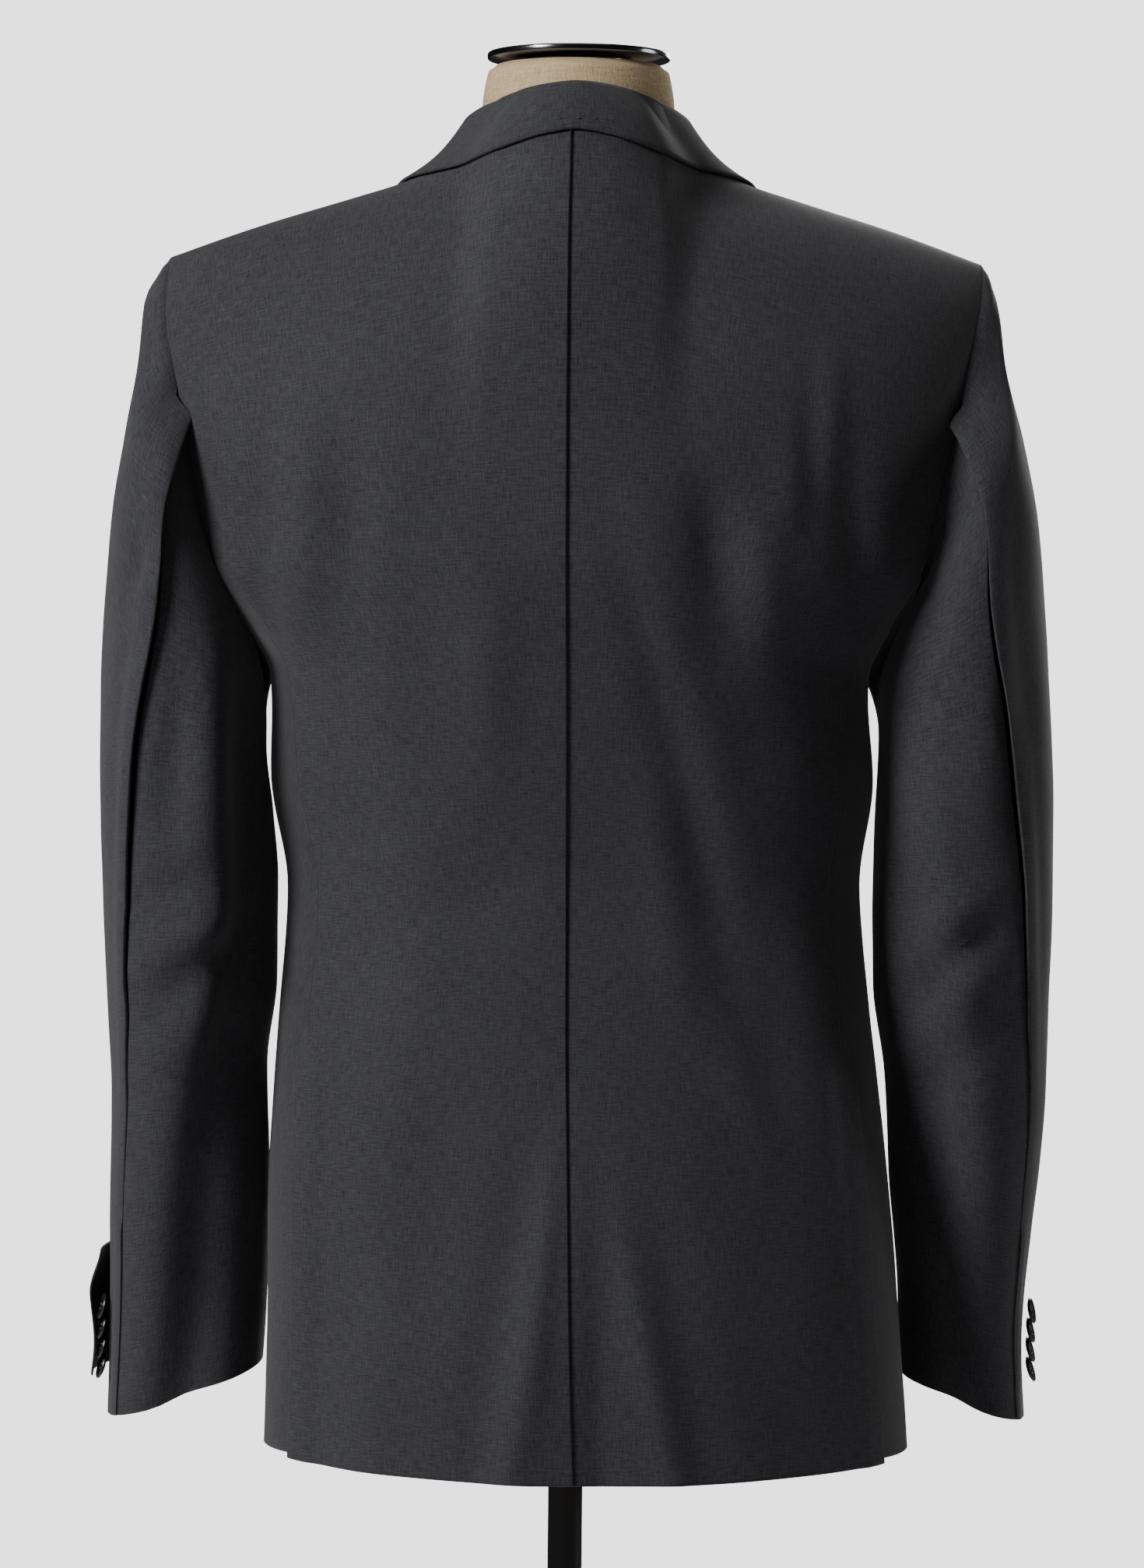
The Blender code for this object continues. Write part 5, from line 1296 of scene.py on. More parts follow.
def make_label(ribbon):
    """The bare label on the left cuff, sewn at its front edge and standing off in a wave."""
    top, bottom = LABEL_HEIGHTS
    rows = []
    for z in np.linspace(top, bottom, 49):
        row = []
        for share in np.linspace(0, 1, 37):
            angle = math.radians(LABEL_ANGLES[0] + (LABEL_ANGLES[1] - LABEL_ANGLES[0]) * share)
            here = tube_at(1, angle, z)
            out = unit((here - tube_at(1, angle + math.pi, z)) * (1, 1, 0))
            wave = LABEL_WAVE * math.sin((top - z) / (top - bottom) * 2 * math.pi) * share
            lift = LABEL_LIFT[1] * (1 - LABEL_LOW_TOP * (1 - smooth(0, LABEL_RISE, top - z)))
            row.append(here + out * (LABEL_LIFT[0] + lift * smooth(0, LABEL_SPREAD, share) + wave))
        rows.append(row)
    grid = np.array(rows)
    outward = away_from(grid, np.array(LABEL_INSIDE))
    cloth(
        "label_bare", grid, outward, ribbon, ("top", "bottom", "left", "right"), LABEL_WALL,
        ("cuff_label_left",),
    )
    return grid, outward


# ---------------------------------------------------------------- buttons and stitches
def button_mesh(name, size, centre, facing, cover):
    """A turned button with a raised rim, a sunk face and four thread holes."""
    radius, thick = size
    side_points = [(radius * out, thick * up) for out, up in BUTTON_SIDE]
    outline = rounded(side_points, radius * BUTTON_ROUND, 3)[:-1]
    steps = 48
    around = np.arange(steps) * 2 * math.pi / steps
    reach = radius * HOLE_PLACE
    hole = radius * HOLE_SIZE
    rings = [points(r * np.cos(around), r * np.sin(around), h) for r, h in outline[1:]]
    for r in np.linspace(FACE_RIM, 0.03, 26) * radius:
        x = r * np.cos(around)
        y = r * np.sin(around)
        dish = FACE_DISH * smooth(0.0, FACE_DISH_RUN * radius, FACE_RIM * radius - r)
        sunk = thick * (FACE_HEIGHT - dish)
        depth = np.zeros(steps)
        for a in HOLE_TURNS:
            gap = np.hypot(x - reach * math.cos(a), y - reach * math.sin(a))
            depth = np.maximum(depth, 1 - smooth(hole * HOLE_EDGE[0], hole * HOLE_EDGE[1], gap))
        rings.append(points(x, y, sunk - depth * thick * HOLE_SINK))
    ends = [(0.0, 0.0, 0.0), (0.0, 0.0, thick * FACE_MIDDLE)]
    made = stack(name, rings, ends, cover, 0.9)
    turn = Vector(facing).to_track_quat("Z", "Y").to_matrix().to_4x4()
    turn.translation = Vector(centre)
    made.data.transform(turn)
    return made, turn


def cuff_button_place(side, k):
    """Centre and facing of a cuff button, counted from the top."""
    lean = math.radians(CUFF_BUTTON_LEAN)
    z = CUFF_BUTTON_TOP - k * CUFF_BUTTON_PITCH
    angle = BACK_SEAM_AT(z) - CUFF_BUTTON_TURN
    here = tube_at(side, math.radians(angle), z)
    beside = tube_at(side, math.radians(angle + 4), z)
    above = tube_at(side, math.radians(angle), z + 0.01)
    out = unit(np.cross(beside - here, above - here))
    if out[0] * side < 0:
        out = -out
    face = out * math.cos(lean) + unit(above - here) * math.sin(lean)
    return here + out * (CUFF_BUTTON_LIFT + CUFF_BUTTON[0] * math.sin(lean)), face


def stitch_tree():
    """Geometry Nodes that lay one short stitch on each edge of a mesh of separate edges."""
    tree = bpy.data.node_groups.new("Stitches", "GeometryNodeTree")
    socket = tree.interface.new_socket
    socket("Paths", in_out="INPUT", socket_type="NodeSocketGeometry")
    socket("Thread Radius", in_out="INPUT", socket_type="NodeSocketFloat").default_value = 0.0003
    socket("Sides", in_out="INPUT", socket_type="NodeSocketInt").default_value = 8
    socket("Thread", in_out="INPUT", socket_type="NodeSocketMaterial")
    socket("Stitches", in_out="OUTPUT", socket_type="NodeSocketGeometry")
    given = add(tree, "NodeGroupInput")
    curve = add(tree, "GeometryNodeMeshToCurve", {"Mesh": given.outputs["Paths"]})
    smooth_path = add(tree, "GeometryNodeResampleCurve", {"Curve": curve.outputs["Curve"], "Count": 9})
    share = add(tree, "GeometryNodeSplineParameter")
    swell = add(tree, "ShaderNodeFloatCurve", {"Value": share.outputs["Factor"]})
    line = swell.mapping.curves[0]
    line.points[0].location = (0.0, 0.25)
    line.points[1].location = (1.0, 0.25)
    line.points.new(0.22, 0.95)
    line.points.new(0.78, 0.95)
    swell.mapping.update()
    sized = add(tree, "GeometryNodeSetCurveRadius", {
        "Curve": smooth_path.outputs["Curve"], "Radius": swell.outputs["Value"],
    })
    section_circle = add(tree, "GeometryNodeCurvePrimitiveCircle", {
        "Resolution": given.outputs["Sides"], "Radius": given.outputs["Thread Radius"],
    })
    tube = add(tree, "GeometryNodeCurveToMesh", {
        "Curve": sized.outputs["Curve"], "Profile Curve": section_circle.outputs["Curve"],
        "Fill Caps": True, "Scale": swell.outputs["Value"],
    })
    real = add(tree, "GeometryNodeRealizeInstances", {"Geometry": tube.outputs["Mesh"]})
    covered = add(tree, "GeometryNodeSetMaterial", {
        "Geometry": real.outputs["Geometry"], "Material": given.outputs["Thread"],
    })
    add(tree, "NodeGroupOutput", {"Stitches": covered.outputs["Geometry"]})
    return tree


def stitches(name, paths, radius, thread):
    """Short stitches through the stitch tree, one along each path of points."""
    corners = []
    edges = []
    for path in paths:
        first = len(corners)
        corners += [tuple(float(v) for v in p) for p in path]
        edges += [(first + k, first + k + 1) for k in range(len(path) - 1)]
    mesh = bpy.data.meshes.new(name + "_paths")
    mesh.from_pydata(corners, edges, [])
    source = bpy.data.objects.new(name + "_paths", mesh)
    bpy.context.scene.collection.objects.link(source)
    tree = bpy.data.node_groups.get("Stitches") or stitch_tree()
    modifier = source.modifiers.new("Stitches", "NODES")
    modifier.node_group = tree
    inputs = {item.name: item.identifier for item in tree.interface.items_tree if item.in_out == "INPUT"}
    modifier[inputs["Thread Radius"]] = radius
    modifier[inputs["Thread"]] = thread
    evaluated = source.evaluated_get(bpy.context.evaluated_depsgraph_get())
    made_mesh = bpy.data.meshes.new_from_object(evaluated)
    bpy.data.objects.remove(source, do_unlink=True)
    made_mesh.materials.clear()
    made_mesh.materials.append(thread)
    made_mesh.polygons.foreach_set("material_index", [0] * len(made_mesh.polygons))
    made_mesh.shade_smooth()
    made = bpy.data.objects.new(name, made_mesh)
    bpy.context.scene.collection.objects.link(made)
    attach(made, "root")
    return made


def arched(start, end, out, height):
    """A stitch from one point to another that rises off the cloth between them."""
    path = []
    for share in np.linspace(0, 1, 7):
        rise = math.sin(math.pi * share) * height
        path.append(start + (end - start) * share + out * rise)
    return path


def button_threads(turn, size, crossing):
    """Two stitches through a button's four holes, side by side or crossing."""
    radius, thick = size
    reach = radius * HOLE_PLACE
    spots = [Vector((reach * math.cos(a), reach * math.sin(a), thick * THREAD_FOOT)) for a in HOLE_TURNS]
    pairs = ((0, 2), (1, 3)) if crossing else ((0, 1), (2, 3))
    out = np.array((turn.to_3x3() @ Vector((0, 0, 1))))
    paths = []
    for k, (a, b) in enumerate(pairs):
        start, end = (np.array(turn @ spots[i]) for i in (a, b))
        paths.append(arched(start, end, out, thick * (THREAD_RISE[0] + THREAD_RISE[1] * k)))
    return paths


def nearest_on(grid, outward, x, z, faces):
    """The grid's point nearest to a place as seen from behind (1) or in front (-1)."""
    gap = np.hypot(grid[..., 0] - x, grid[..., 2] - z) + (outward[..., 1] * faces < 0.2)
    spot = np.unravel_index(gap.argmin(), gap.shape)
    return grid[spot] + (x - grid[spot][0], 0, z - grid[spot][2]), outward[spot]


def buttonhole(start, end, out, across):
    """Whip stitches side by side round a slit from start to end."""
    paths = []
    length = np.linalg.norm(end - start)
    count = int(length / HOLE_PITCH)
    for k in range(count + 1):
        middle = start + (end - start) * k / count
        for way in (1, -1):
            foot = middle + across * way * HOLE_WIDTH
            paths.append(arched(middle + across * way * WHIP_START, foot, out, WHIP_RISE))
    return paths


# ---------------------------------------------------------------- dress form and stand
def dome(x, y, half_width):
    """The form's shoulders over a point of its plan: the widened x, and the height."""
    ridge_y = np.minimum(RIDGE_AT["y"](np.abs(x)), NECK_AXIS)
    inner = np.abs(x) * 0.93
    behind = y > ridge_y
    edge = np.where(behind, depth_at(inner, BACK_TOP, True), depth_at(inner, FRONT_TOP, False))
    edge = edge - FORM_INSET * np.sign(edge)
    share_y = np.clip((y - ridge_y) / (edge - ridge_y), 0, 1)
    share_x = np.clip(np.abs(x) / half_width, 0, 1)
    power = RIDGE_AT["power"](np.maximum(np.abs(x), NECK_SIDE))
    rise = (1 - share_y**power) ** (1 / power) * (1 - share_x**FORM_SQUARE) ** (1 / FORM_SQUARE)
    wide = x * (1 + FORM_WIDEN * smooth(0, 0.8, rise))
    slope = np.abs(wide)
    by_neck = FORM_NECK_FOOT + (NECK_SIDE - slope) * FORM_NECK_SLOPE
    ridge_z = np.where(slope < NECK_SIDE, by_neck, RIDGE_AT["z"](slope))
    ridge_z = ridge_z - np.where(behind, *FORM_HOLLOW) * (1 - smooth(NECK_SIDE, FORM_HOLLOW_END, slope))
    return wide, FORM_CHEST + (ridge_z - WALL - FORM_GAP - FORM_CHEST) * rise


def make_form(linen):
    """The form's trunk, shoulders and neck as one closed linen skin of rings."""
    steps = 120
    angle = np.radians(np.arange(steps) * 360 / steps)
    rings = []
    for z in fine(FORM_HEIGHTS):
        x, y = section(angle, min(z, FORM_FULL), FORM_INSET)
        pull = 1 - FORM_FOOT * (1 - smooth(FORM_BOTTOM, FORM_FOOT_TOP, z))
        rings.append(points(BODY_AT["shift"](z) + x * pull, y * pull, z))
    base_x, base_y = section(angle, FORM_FULL, FORM_INSET)
    base_x = base_x * FORM_SHOULDERS
    half_width = np.abs(base_x).max() * 1.001
    neck_x = FORM_NECK[0] * np.sin(angle)
    neck_y = NECK_AXIS + FORM_NECK[1] * np.cos(angle)
    for turn in fine(FORM_TURNS):
        move = 1 - math.cos(math.radians(turn))
        x = base_x + (neck_x - base_x) * move
        y = base_y + (neck_y - base_y) * move
        x, z = dome(x, y, half_width)
        rings.append(points(BODY_AT["shift"](1.26) * (1 - move) + x, y, z))
    radius_at = track([z for _, z in FORM_NECK_RINGS], [radius for radius, _ in FORM_NECK_RINGS])
    for z in np.linspace(FORM_NECK_RINGS[0][1], NECK_TOP, 25):
        tuck_in = NECK_ROUND * smooth(NECK_TOP - NECK_ROUND, NECK_TOP, z)
        radius = float(radius_at(z)) - tuck_in
        rings.append(points(radius * np.sin(angle), NECK_AXIS + radius * np.cos(angle), z))
    ends = [ring.mean(axis=0) for ring in (rings[0], rings[-1])]
    made = stack("form_cover", rings, ends, linen, 1.2)
    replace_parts(made, "form_torso")
    return made


def make_stand(steel, chrome):
    """The cap over the form's neck, the pole under it and the round base."""
    low = NECK_TOP + SEAM
    rim = NECK_TOP + CAP_RECESS
    top = rim + CAP_RIM
    cap = [
        (0, low), (CAP_FOOT, low), (CAP_FOOT, rim), (CAP_RADIUS, rim), (CAP_RADIUS, top),
        (CAP_FOOT, top + CAP_CROWN[0]), (0, top + CAP_CROWN[1]),
    ]
    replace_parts(lathe("neck_cap_polished", rounded(cap, CAP_ROUND), chrome, NECK_AXIS), "neck_cap")
    hub = BASE_THICK + HUB_HEIGHT
    base = [
        (0, 0), (BASE_RADIUS, 0), (BASE_RADIUS, BASE_THICK), (HUB_RADIUS, BASE_THICK),
        (HUB_RADIUS, hub), (0, hub),
    ]
    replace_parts(lathe("base_plate_coated", rounded(base, BASE_ROUND, 6), steel, steps=160), "stand_base")
    foot = hub + SEAM
    head = FORM_BOTTOM - SEAM
    pole = [(0, foot), (POLE_RADIUS, foot), (POLE_RADIUS, head), (0, head)]
    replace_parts(lathe("pole_coated", rounded(pole, POLE_ROUND), steel, steps=64), "stand_pole")


# ---------------------------------------------------------------- materials
def linear(hex_colour):
    """An sRGB colour such as "#3A3B3F" as linear red, green and blue."""
    parts = [int(hex_colour[k : k + 2], 16) / 255 for k in (1, 3, 5)]
    return tuple(p / 12.92 if p <= 0.04045 else ((p + 0.055) / 1.055) ** 2.4 for p in parts)


def add(tree, kind, inputs=None, **settings):
    """A new node with its settings, and its inputs set or linked by name or number."""
    made = tree.nodes.new(kind)
    for name, value in settings.items():
        setattr(made, name, value)
    for key, value in (inputs or {}).items():
        if isinstance(value, bpy.types.NodeSocket):
            tree.links.new(value, made.inputs[key])
        else:
            made.inputs[key].default_value = value
    return made


def new_material(name, colour, roughness, **sockets):
    """A Principled BSDF material, its node tree and its shader."""
    made = bpy.data.materials.new(name)
    made.use_nodes = True
    shader = made.node_tree.nodes["Principled BSDF"]
    shader.inputs["Base Color"].default_value = (*colour, 1.0)
    shader.inputs["Roughness"].default_value = roughness
    for key, value in sockets.items():
        shader.inputs[key.replace("_", " ")].default_value = value
    return made, made.node_tree, shader


def woven(name, light, dark, thread_mm, slub_mm, bump, roughness, sheen, on_panel=True):
    """Plain woven cloth: slubs of both threads, a fine grain, slow unevenness of the dye,
    and the bump of all three. A panel carries its own map, in metres of cloth; the form's
    cover is woven on the object's own axes."""
    made, tree, shader = new_material(
        name, dark, roughness, Sheen_Weight=sheen, Sheen_Roughness=0.45, Specular_IOR_Level=0.25,
    )
    if on_panel:
        where = add(tree, "ShaderNodeUVMap", uv_map="cloth").outputs["UV"]
    else:
        where = add(tree, "ShaderNodeTexCoord").outputs["Object"]
    thread = 1000 / thread_mm
    slub = 1000 / slub_mm
    upright = (thread, slub, 1.0) if on_panel else (thread, thread, slub)
    level = (slub, thread, 1.0) if on_panel else (slub, slub, thread)
    height = None
    for number, scale in enumerate((upright, level, (thread, thread, thread))):
        placed = add(tree, "ShaderNodeMapping", {
            "Vector": where, "Scale": scale, "Location": (3.1 * number, 7.7 * number, 0.0),
        })
        noise = add(tree, "ShaderNodeTexNoise", {
            "Vector": placed.outputs["Vector"], "Scale": 1.0, "Detail": 1.5, "Roughness": 0.6,
        })
        if height is None:
            height = noise.outputs["Fac"]
        else:
            height = add(tree, "ShaderNodeMath", {0: height, 1: noise.outputs["Fac"]}).outputs[0]
    dye = add(tree, "ShaderNodeTexNoise", {
        "Vector": where, "Scale": 9.0, "Detail": 2.0, "Roughness": 0.5,
    })
    faint = add(tree, "ShaderNodeMath", {0: dye.outputs["Fac"], 1: 0.35}, operation="MULTIPLY")
    shade = add(tree, "ShaderNodeMath", {0: height, 1: faint.outputs[0]})
    share = add(tree, "ShaderNodeMapRange", {
        "Value": shade.outputs[0], "From Min": 1.20, "From Max": 2.15,
    })
    mixed = add(tree, "ShaderNodeMix", {
        0: share.outputs["Result"], 6: (*dark, 1.0), 7: (*light, 1.0),
    }, data_type="RGBA")
    tree.links.new(mixed.outputs[2], shader.inputs["Base Color"])
    raised = add(tree, "ShaderNodeBump", {"Height": height, "Strength": bump, "Distance": 0.0004})
    tree.links.new(raised.outputs["Normal"], shader.inputs["Normal"])
    return made


def make_worsted(colours):
    """Worsted wool suiting, sharkskin weave: matt, with faint lighter slubs up and across.
    Its threads are 0.4 mm apart and drawn 0.8 mm apart, so that they show."""
    light, dark = colours.wool_light, colours.wool_dark
    return woven("worsted_wool", light, dark, 0.8, 9.0, 0.30, 0.84, 0.18)


def make_linen(colours):
    """Natural linen stretched tight: an even dry tan with thick and thin threads 0.8 mm
    apart, drawn 1.2 mm apart."""
    light, dark = colours.linen_light, colours.linen_dark
    return woven("natural_linen", light, dark, 1.2, 14.0, 0.45, 0.90, 0.10, on_panel=False)


def make_ribbon(colours):
    """Black satin ribbon: tight weave with a soft sheen along it, left bare."""
    light = tuple(c * 2.2 for c in colours.ribbon)
    return woven("satin_ribbon", light, colours.ribbon, 0.7, 9.0, 0.20, 0.46, 0.15)


def make_thread(colours):
    """Spun sewing thread of the wool's colour: matt, a little lighter than the cloth."""
    return new_material("sewing_thread", colours.thread, 0.75, Sheen_Weight=0.15)[0]


def make_horn(colours):
    """Polished horn button: near black with faint brown clouds, half gloss."""
    made, tree, shader = new_material("polished_horn", colours.horn, 0.30, IOR=1.54)
    where = add(tree, "ShaderNodeTexCoord").outputs["Object"]
    clouds = add(tree, "ShaderNodeTexNoise", {
        "Vector": where, "Scale": 260.0, "Detail": 4.0, "Roughness": 0.6, "Distortion": 0.8,
    })
    mixed = add(tree, "ShaderNodeMix", {
        0: clouds.outputs["Fac"], 6: (*(c * 0.5 for c in colours.horn), 1.0),
        7: (*(c * 2.0 for c in colours.horn), 1.0),
    }, data_type="RGBA")
    tree.links.new(mixed.outputs[2], shader.inputs["Base Color"])
    return made


def make_chrome(colours):
    """Black chrome plate: a dark mirror with faint fingering in its gloss."""
    made, tree, shader = new_material("black_chrome", colours.chrome, 0.14, Metallic=1.0)
    where = add(tree, "ShaderNodeTexCoord").outputs["Object"]
    haze = add(tree, "ShaderNodeTexNoise", {"Vector": where, "Scale": 60.0, "Detail": 3.0})
    gloss = add(tree, "ShaderNodeMapRange", {
        "Value": haze.outputs["Fac"], "To Min": 0.10, "To Max": 0.22,
    })
    tree.links.new(gloss.outputs["Result"], shader.inputs["Roughness"])
    return made


def make_coat(colours):
    """Powder-coated steel: black with the fine orange peel of the baked coat."""
    made, tree, shader = new_material("powder_coated_steel", colours.coat, 0.42, IOR=1.5)
    where = add(tree, "ShaderNodeTexCoord").outputs["Object"]
    peel = add(tree, "ShaderNodeTexNoise", {"Vector": where, "Scale": 900.0, "Detail": 1.0})
    raised = add(tree, "ShaderNodeBump", {
        "Height": peel.outputs["Fac"], "Strength": 0.25, "Distance": 0.0002,
    })
    tree.links.new(raised.outputs["Normal"], shader.inputs["Normal"])
    return made


def make_floor(colours):
    """Matt studio floor paint, pale and even."""
    return new_material("studio_floor_paint", colours.floor, 0.85, Specular_IOR_Level=0.2)[0]


FINISHES = {
    "worsted_wool": (make_worsted, "suiting"),
    "natural_linen": (make_linen, "linen"),
    "satin_ribbon": (make_ribbon, "label_cloth"),
    "sewing_thread": (make_thread, "suiting"),
    "polished_horn": (make_horn, "horn_button"),
    "black_chrome": (make_chrome, "dark_chrome"),
    "powder_coated_steel": (make_coat, "black_steel"),
    "studio_floor_paint": (make_floor, None),
}


def finish(name):
    """The material of that name, made on first use."""
    found = bpy.data.materials.get(name)
    return found or FINISHES[name][0](bpy.context.scene.blazer_colours)


# ---------------------------------------------------------------- sizes and colours to set
class BlazerSizes(bpy.types.PropertyGroup):
    fold_strength: bpy.props.FloatProperty(
        name="Fold Strength", description="How deep the soft folds are, as a share of the usual",
        default=1.5, min=0.0, max=3.0, subtype="FACTOR",
    )
    seam_depth: bpy.props.FloatProperty(
        name="Seam Depth", description="How far the cloth sinks into a sewn seam",
        default=0.0003, min=0.0, max=0.003, unit="LENGTH", subtype="DISTANCE", precision=4,
    )
    thread_radius: bpy.props.FloatProperty(
        name="Thread Radius", description="Radius of the stitches",
        default=0.00028, min=0.0001, max=0.001, unit="LENGTH", subtype="DISTANCE", precision=5,
    )


def colour_property(name, description, hex_colour):
    return bpy.props.FloatVectorProperty(
        name=name, description=description, size=3, subtype="COLOR", min=0.0, max=1.0,
        default=linear(hex_colour),
    )


class BlazerColours(bpy.types.PropertyGroup):
    wool_light: colour_property("Wool Slubs", "Lighter threads of the suiting", "#404044")
    wool_dark: colour_property("Wool Ground", "Darker threads of the suiting", "#18181B")
    linen_light: colour_property("Linen Slubs", "Lighter threads of the linen", "#CDB592")
    linen_dark: colour_property("Linen Ground", "Darker threads of the linen", "#A58C68")
    ribbon: colour_property("Ribbon", "The label's satin ribbon", "#141415")
    thread: colour_property("Thread", "Sewing thread", "#26262A")
    horn: colour_property("Horn", "Buttons", "#1B1A1B")
    chrome: colour_property("Black Chrome", "The neck cap's plating", "#7C7C80")
    coat: colour_property("Powder Coat", "The pole and base", "#151516")
    floor: colour_property("Floor", "Studio floor and background", "#E1E1E2")


# ---------------------------------------------------------------- operators
class BLAZER_OT_trunk(bpy.types.Operator):
    """Back, side and front panels of both sides"""

    bl_idname = "blazer.trunk"
    bl_label = "Trunk Panels"

    def execute(self, context):
        for side in (1, -1):
            make_trunk(side, finish("worsted_wool"))
        return {"FINISHED"}


class BLAZER_OT_sleeves(bpy.types.Operator):
    """Top and under sleeve of both arms"""

    bl_idname = "blazer.sleeves"
    bl_label = "Sleeves"

    def execute(self, context):
        for side in (1, -1):
            make_sleeve(side, finish("worsted_wool"))
        return {"FINISHED"}


class BLAZER_OT_collar(bpy.types.Operator):
    """Collar, lapels and hip pocket flaps"""

    bl_idname = "blazer.collar"
    bl_label = "Collar, Lapels and Flaps"

    def execute(self, context):
        make_collar(finish("worsted_wool"))
        for side in (1, -1):
            make_lapel(side, finish("worsted_wool"))
            make_flap(side, finish("worsted_wool"))
        return {"FINISHED"}


class BLAZER_OT_buttons(bpy.types.Operator):
    """Cuff and front buttons with the thread through their holes"""

    bl_idname = "blazer.buttons"
    bl_label = "Buttons"

    def execute(self, context):
        horn = finish("polished_horn")
        threads = []
        for side in (1, -1):
            arm = name_of(side)
            for k in range(4):
                centre, face = cuff_button_place(side, k)
                made, turn = button_mesh(f"button_cuff_{arm}_{k + 1}", CUFF_BUTTON, centre, face, horn)
                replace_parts(made, f"cuff_button_{arm}_{k + 1}")
                threads += button_threads(turn, CUFF_BUTTON, False)
        for number, z in enumerate(FRONT_BUTTON_HEIGHTS, 1):
            centre = front_at(1, 0.0, z) - (0, FRONT_BUTTON_LIFT, 0)
            made, turn = button_mesh(f"button_front_{number}", FRONT_BUTTON, centre, (0, -1, 0), horn)
            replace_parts(made, f"front_button_{number}")
            threads += button_threads(turn, FRONT_BUTTON, True)
        radius = context.scene.blazer_sizes.thread_radius
        stitches("stitches_on_buttons", threads, radius, finish("sewing_thread"))
        return {"FINISHED"}


class BLAZER_OT_stitches(bpy.types.Operator):
    """Buttonholes of the left front and lapel, and the collar's four pick stitches"""

    bl_idname = "blazer.stitches"
    bl_label = "Buttonholes and Stitches"

    def execute(self, context):
        thread = finish("sewing_thread")
        radius = context.scene.blazer_sizes.thread_radius
        grid, outward = trunk_grids(1)
        grid, outward = grid["front"], outward["front"]
        grid = front_dress(1, grid, outward)
        paths = []
        for height in FRONT_BUTTON_HEIGHTS:
            start, out = nearest_on(grid, outward, HOLE_START, height, -1)
            end, _ = nearest_on(grid, outward, HOLE_START + FRONT_HOLE, height, -1)
            paths += buttonhole(start, end, out, np.array((0, 0, 1.0)))
        lapel, lapel_out = lapel_skin(1)
        rows, columns = lapel.shape[:2]
        row = int(rows * LAPEL_HOLE_ROW)
        first, last = (int(columns * share) for share in LAPEL_HOLE_SPAN)
        start, end = lapel[row, first], lapel[row, last]
        out = lapel_out[row, first]
        paths += buttonhole(start, end, out, unit(np.cross(out, end - start)))
        stitches("stitches_buttonholes", paths, radius, thread)
        collar, collar_out = collar_skin()
        picks = []
        for x in PICK_PLACES:
            middle, out = nearest_on(collar, collar_out, x, PICK_HEIGHT, 1)
            half = np.array((PICK_HALF, 0, 0))
            picks.append(arched(middle - half, middle + half, out, PICK_RISE))
        stitches("stitches_collar", picks, radius * PICK_THICK, thread)
        return {"FINISHED"}


class BLAZER_OT_label(bpy.types.Operator):
    """The bare ribbon label on the left cuff and the stitches along its sewn edge"""

    bl_idname = "blazer.label"
    bl_label = "Cuff Label"

    def execute(self, context):
        grid, outward = make_label(finish("satin_ribbon"))
        paths = []
        for row in range(2, grid.shape[0] - 2, 3):
            start, end = grid[row, 1], grid[row + 1, 1]
            paths.append(arched(start, end + (end - start), outward[row, 1], LABEL_STITCH_RISE))
        thread = finish("sewing_thread")
        stitches("stitches_label", paths, context.scene.blazer_sizes.thread_radius, thread)
        return {"FINISHED"}


class BLAZER_OT_form(bpy.types.Operator):
    """Linen dress form, its neck cap, the pole and the round base"""

    bl_idname = "blazer.form"
    bl_label = "Dress Form and Stand"

    def execute(self, context):
        make_form(finish("natural_linen"))
        make_stand(finish("powder_coated_steel"), finish("black_chrome"))
        return {"FINISHED"}


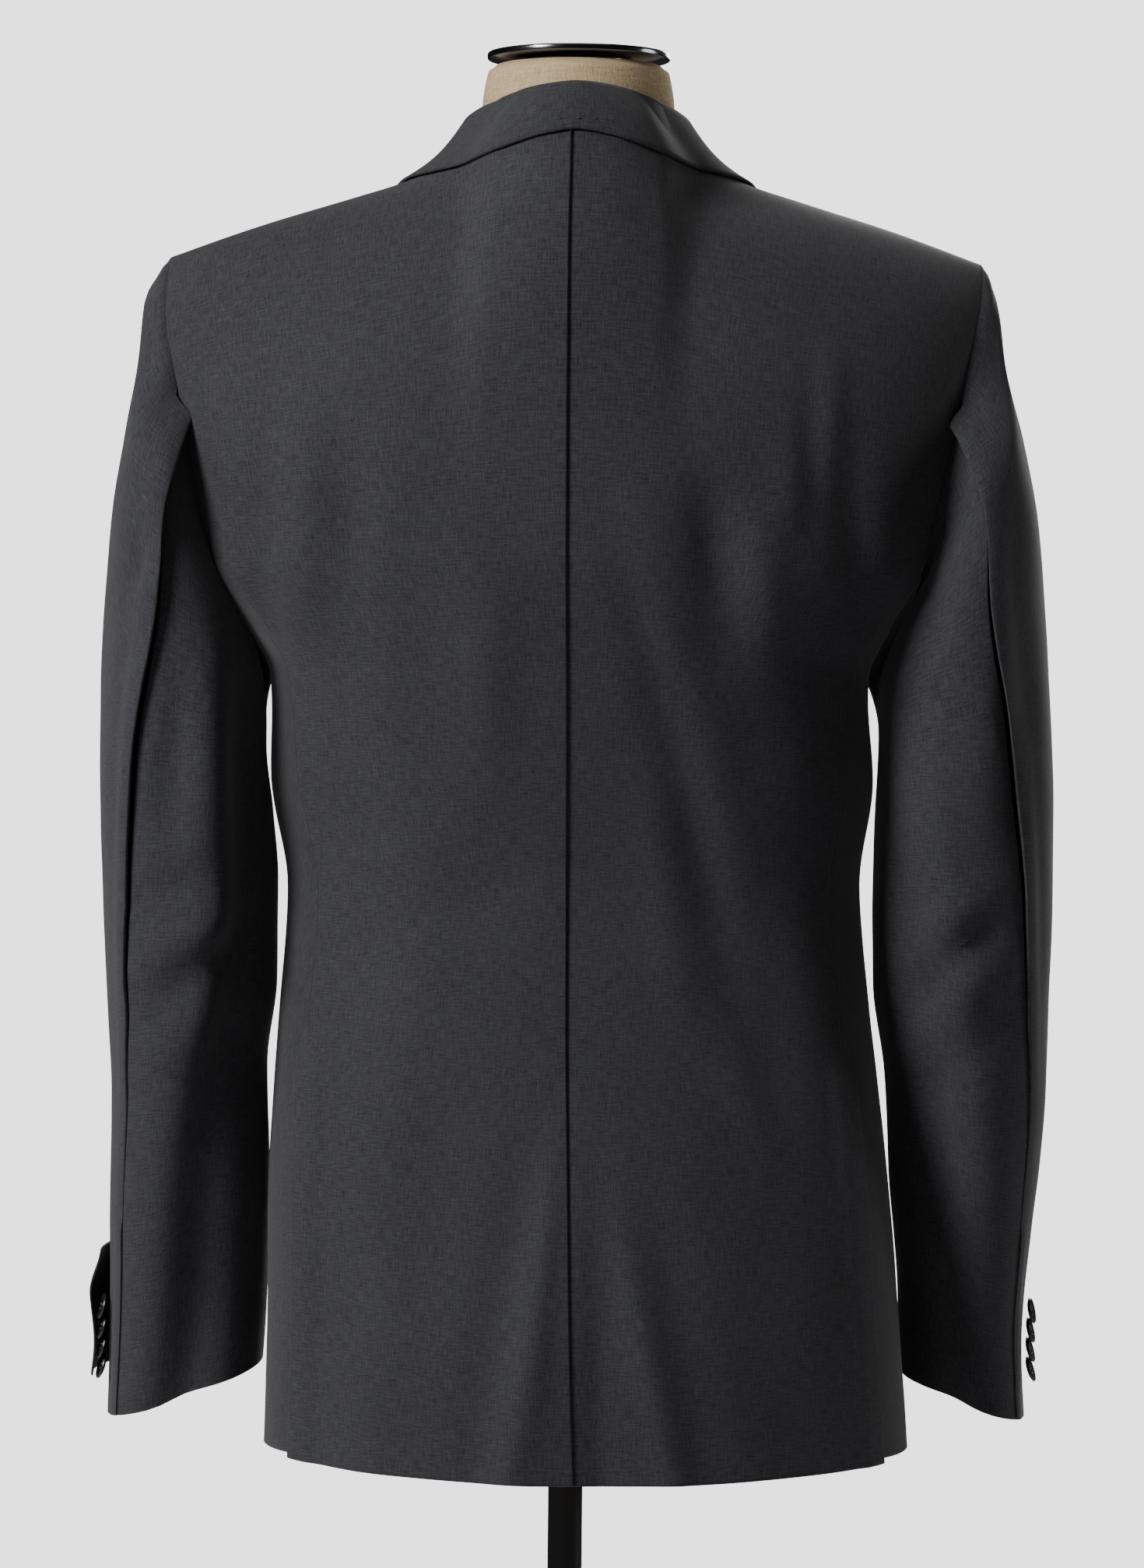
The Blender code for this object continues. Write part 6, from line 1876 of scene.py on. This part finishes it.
class BLAZER_OT_stage(bpy.types.Operator):
    """Pale floor, even background, soft lights and the camera behind the blazer"""

    bl_idname = "blazer.stage"
    bl_label = "Studio"

    def execute(self, context):
        scene = context.scene
        around = np.arange(FLOOR_SIDES) * 2 * math.pi / FLOOR_SIDES
        corners = [(FLOOR_RADIUS * math.cos(a), FLOOR_RADIUS * math.sin(a), FLOOR_Z) for a in around]
        mesh = bpy.data.meshes.new("studio_floor")
        mesh.from_pydata(corners, [], [tuple(range(FLOOR_SIDES))])
        mesh.materials.append(finish("studio_floor_paint"))
        floor = bpy.data.objects.new("studio_floor", mesh)
        scene.collection.objects.link(floor)
        world = bpy.data.worlds.new("studio")
        scene.world = world
        world.use_nodes = True
        tree = world.node_tree
        seen = tree.nodes["Background"]
        seen.inputs["Color"].default_value = (*linear(BACKDROP), 1.0)
        seen.inputs["Strength"].default_value = BACKDROP_GLOW
        lit = add(tree, "ShaderNodeBackground", {"Color": (1.0, 1.0, 1.0, 1.0), "Strength": ROOM_LIGHT})
        ray = add(tree, "ShaderNodeLightPath")
        both = add(tree, "ShaderNodeMixShader", {
            0: ray.outputs["Is Camera Ray"], 1: lit.outputs[0], 2: seen.outputs[0],
        })
        tree.links.new(both.outputs[0], tree.nodes["World Output"].inputs["Surface"])
        for row in LIGHTS:
            light = dict(zip(LIGHT_COLUMNS, row))
            lamp = bpy.data.lights.new(light["name"], "AREA")
            lamp.shape = "DISK"
            lamp.size = light["size"]
            lamp.energy = light["watts"]
            made = bpy.data.objects.new(light["name"], lamp)
            made.location = (light["x"], light["y"], light["z"])
            aim = Vector(LIGHT_AIM) - made.location
            made.rotation_euler = aim.to_track_quat("-Z", "Y").to_euler()
            scene.collection.objects.link(made)
        lens = bpy.data.cameras.new("photo_view")
        lens.lens = LENS_MM
        camera = bpy.data.objects.new("photo_view", lens)
        level = Matrix.Rotation(math.pi, 4, "Z") @ Matrix.Rotation(math.pi / 2, 4, "X")
        roll = Matrix.Rotation(math.radians(CAMERA_ROLL), 4, "Z")
        camera.matrix_world = Matrix.Translation((0, CAMERA_DISTANCE, EYE_HEIGHT)) @ level @ roll
        scene.collection.objects.link(camera)
        scene.camera = camera
        return {"FINISHED"}


STEPS = (
    BLAZER_OT_form, BLAZER_OT_trunk, BLAZER_OT_sleeves, BLAZER_OT_collar, BLAZER_OT_label,
    BLAZER_OT_buttons, BLAZER_OT_stitches, BLAZER_OT_stage,
)


class BLAZER_PT_panel(bpy.types.Panel):
    """Sizes, colours and steps of the blazer"""

    bl_idname = "BLAZER_PT_panel"
    bl_label = "Blazer"
    bl_space_type = "VIEW_3D"
    bl_region_type = "UI"
    bl_category = "Blazer"

    def draw(self, context):
        for group in (context.scene.blazer_sizes, context.scene.blazer_colours):
            for name in group.__annotations__:
                self.layout.prop(group, name)
        for step in STEPS:
            self.layout.operator(step.bl_idname)


CLASSES = (BlazerSizes, BlazerColours, *STEPS, BLAZER_PT_panel)


def register():
    for cls in CLASSES:
        bpy.utils.register_class(cls)
    bpy.types.Scene.blazer_sizes = bpy.props.PointerProperty(type=BlazerSizes)
    bpy.types.Scene.blazer_colours = bpy.props.PointerProperty(type=BlazerColours)


def unregister():
    del bpy.types.Scene.blazer_colours
    del bpy.types.Scene.blazer_sizes
    for cls in reversed(CLASSES):
        bpy.utils.unregister_class(cls)


def main():
    register()
    for step in STEPS:
        group, name = step.bl_idname.split(".")
        getattr(getattr(bpy.ops, group), name)()
    bpy.context.view_layer.update()


if __name__ == "__main__":
    main()
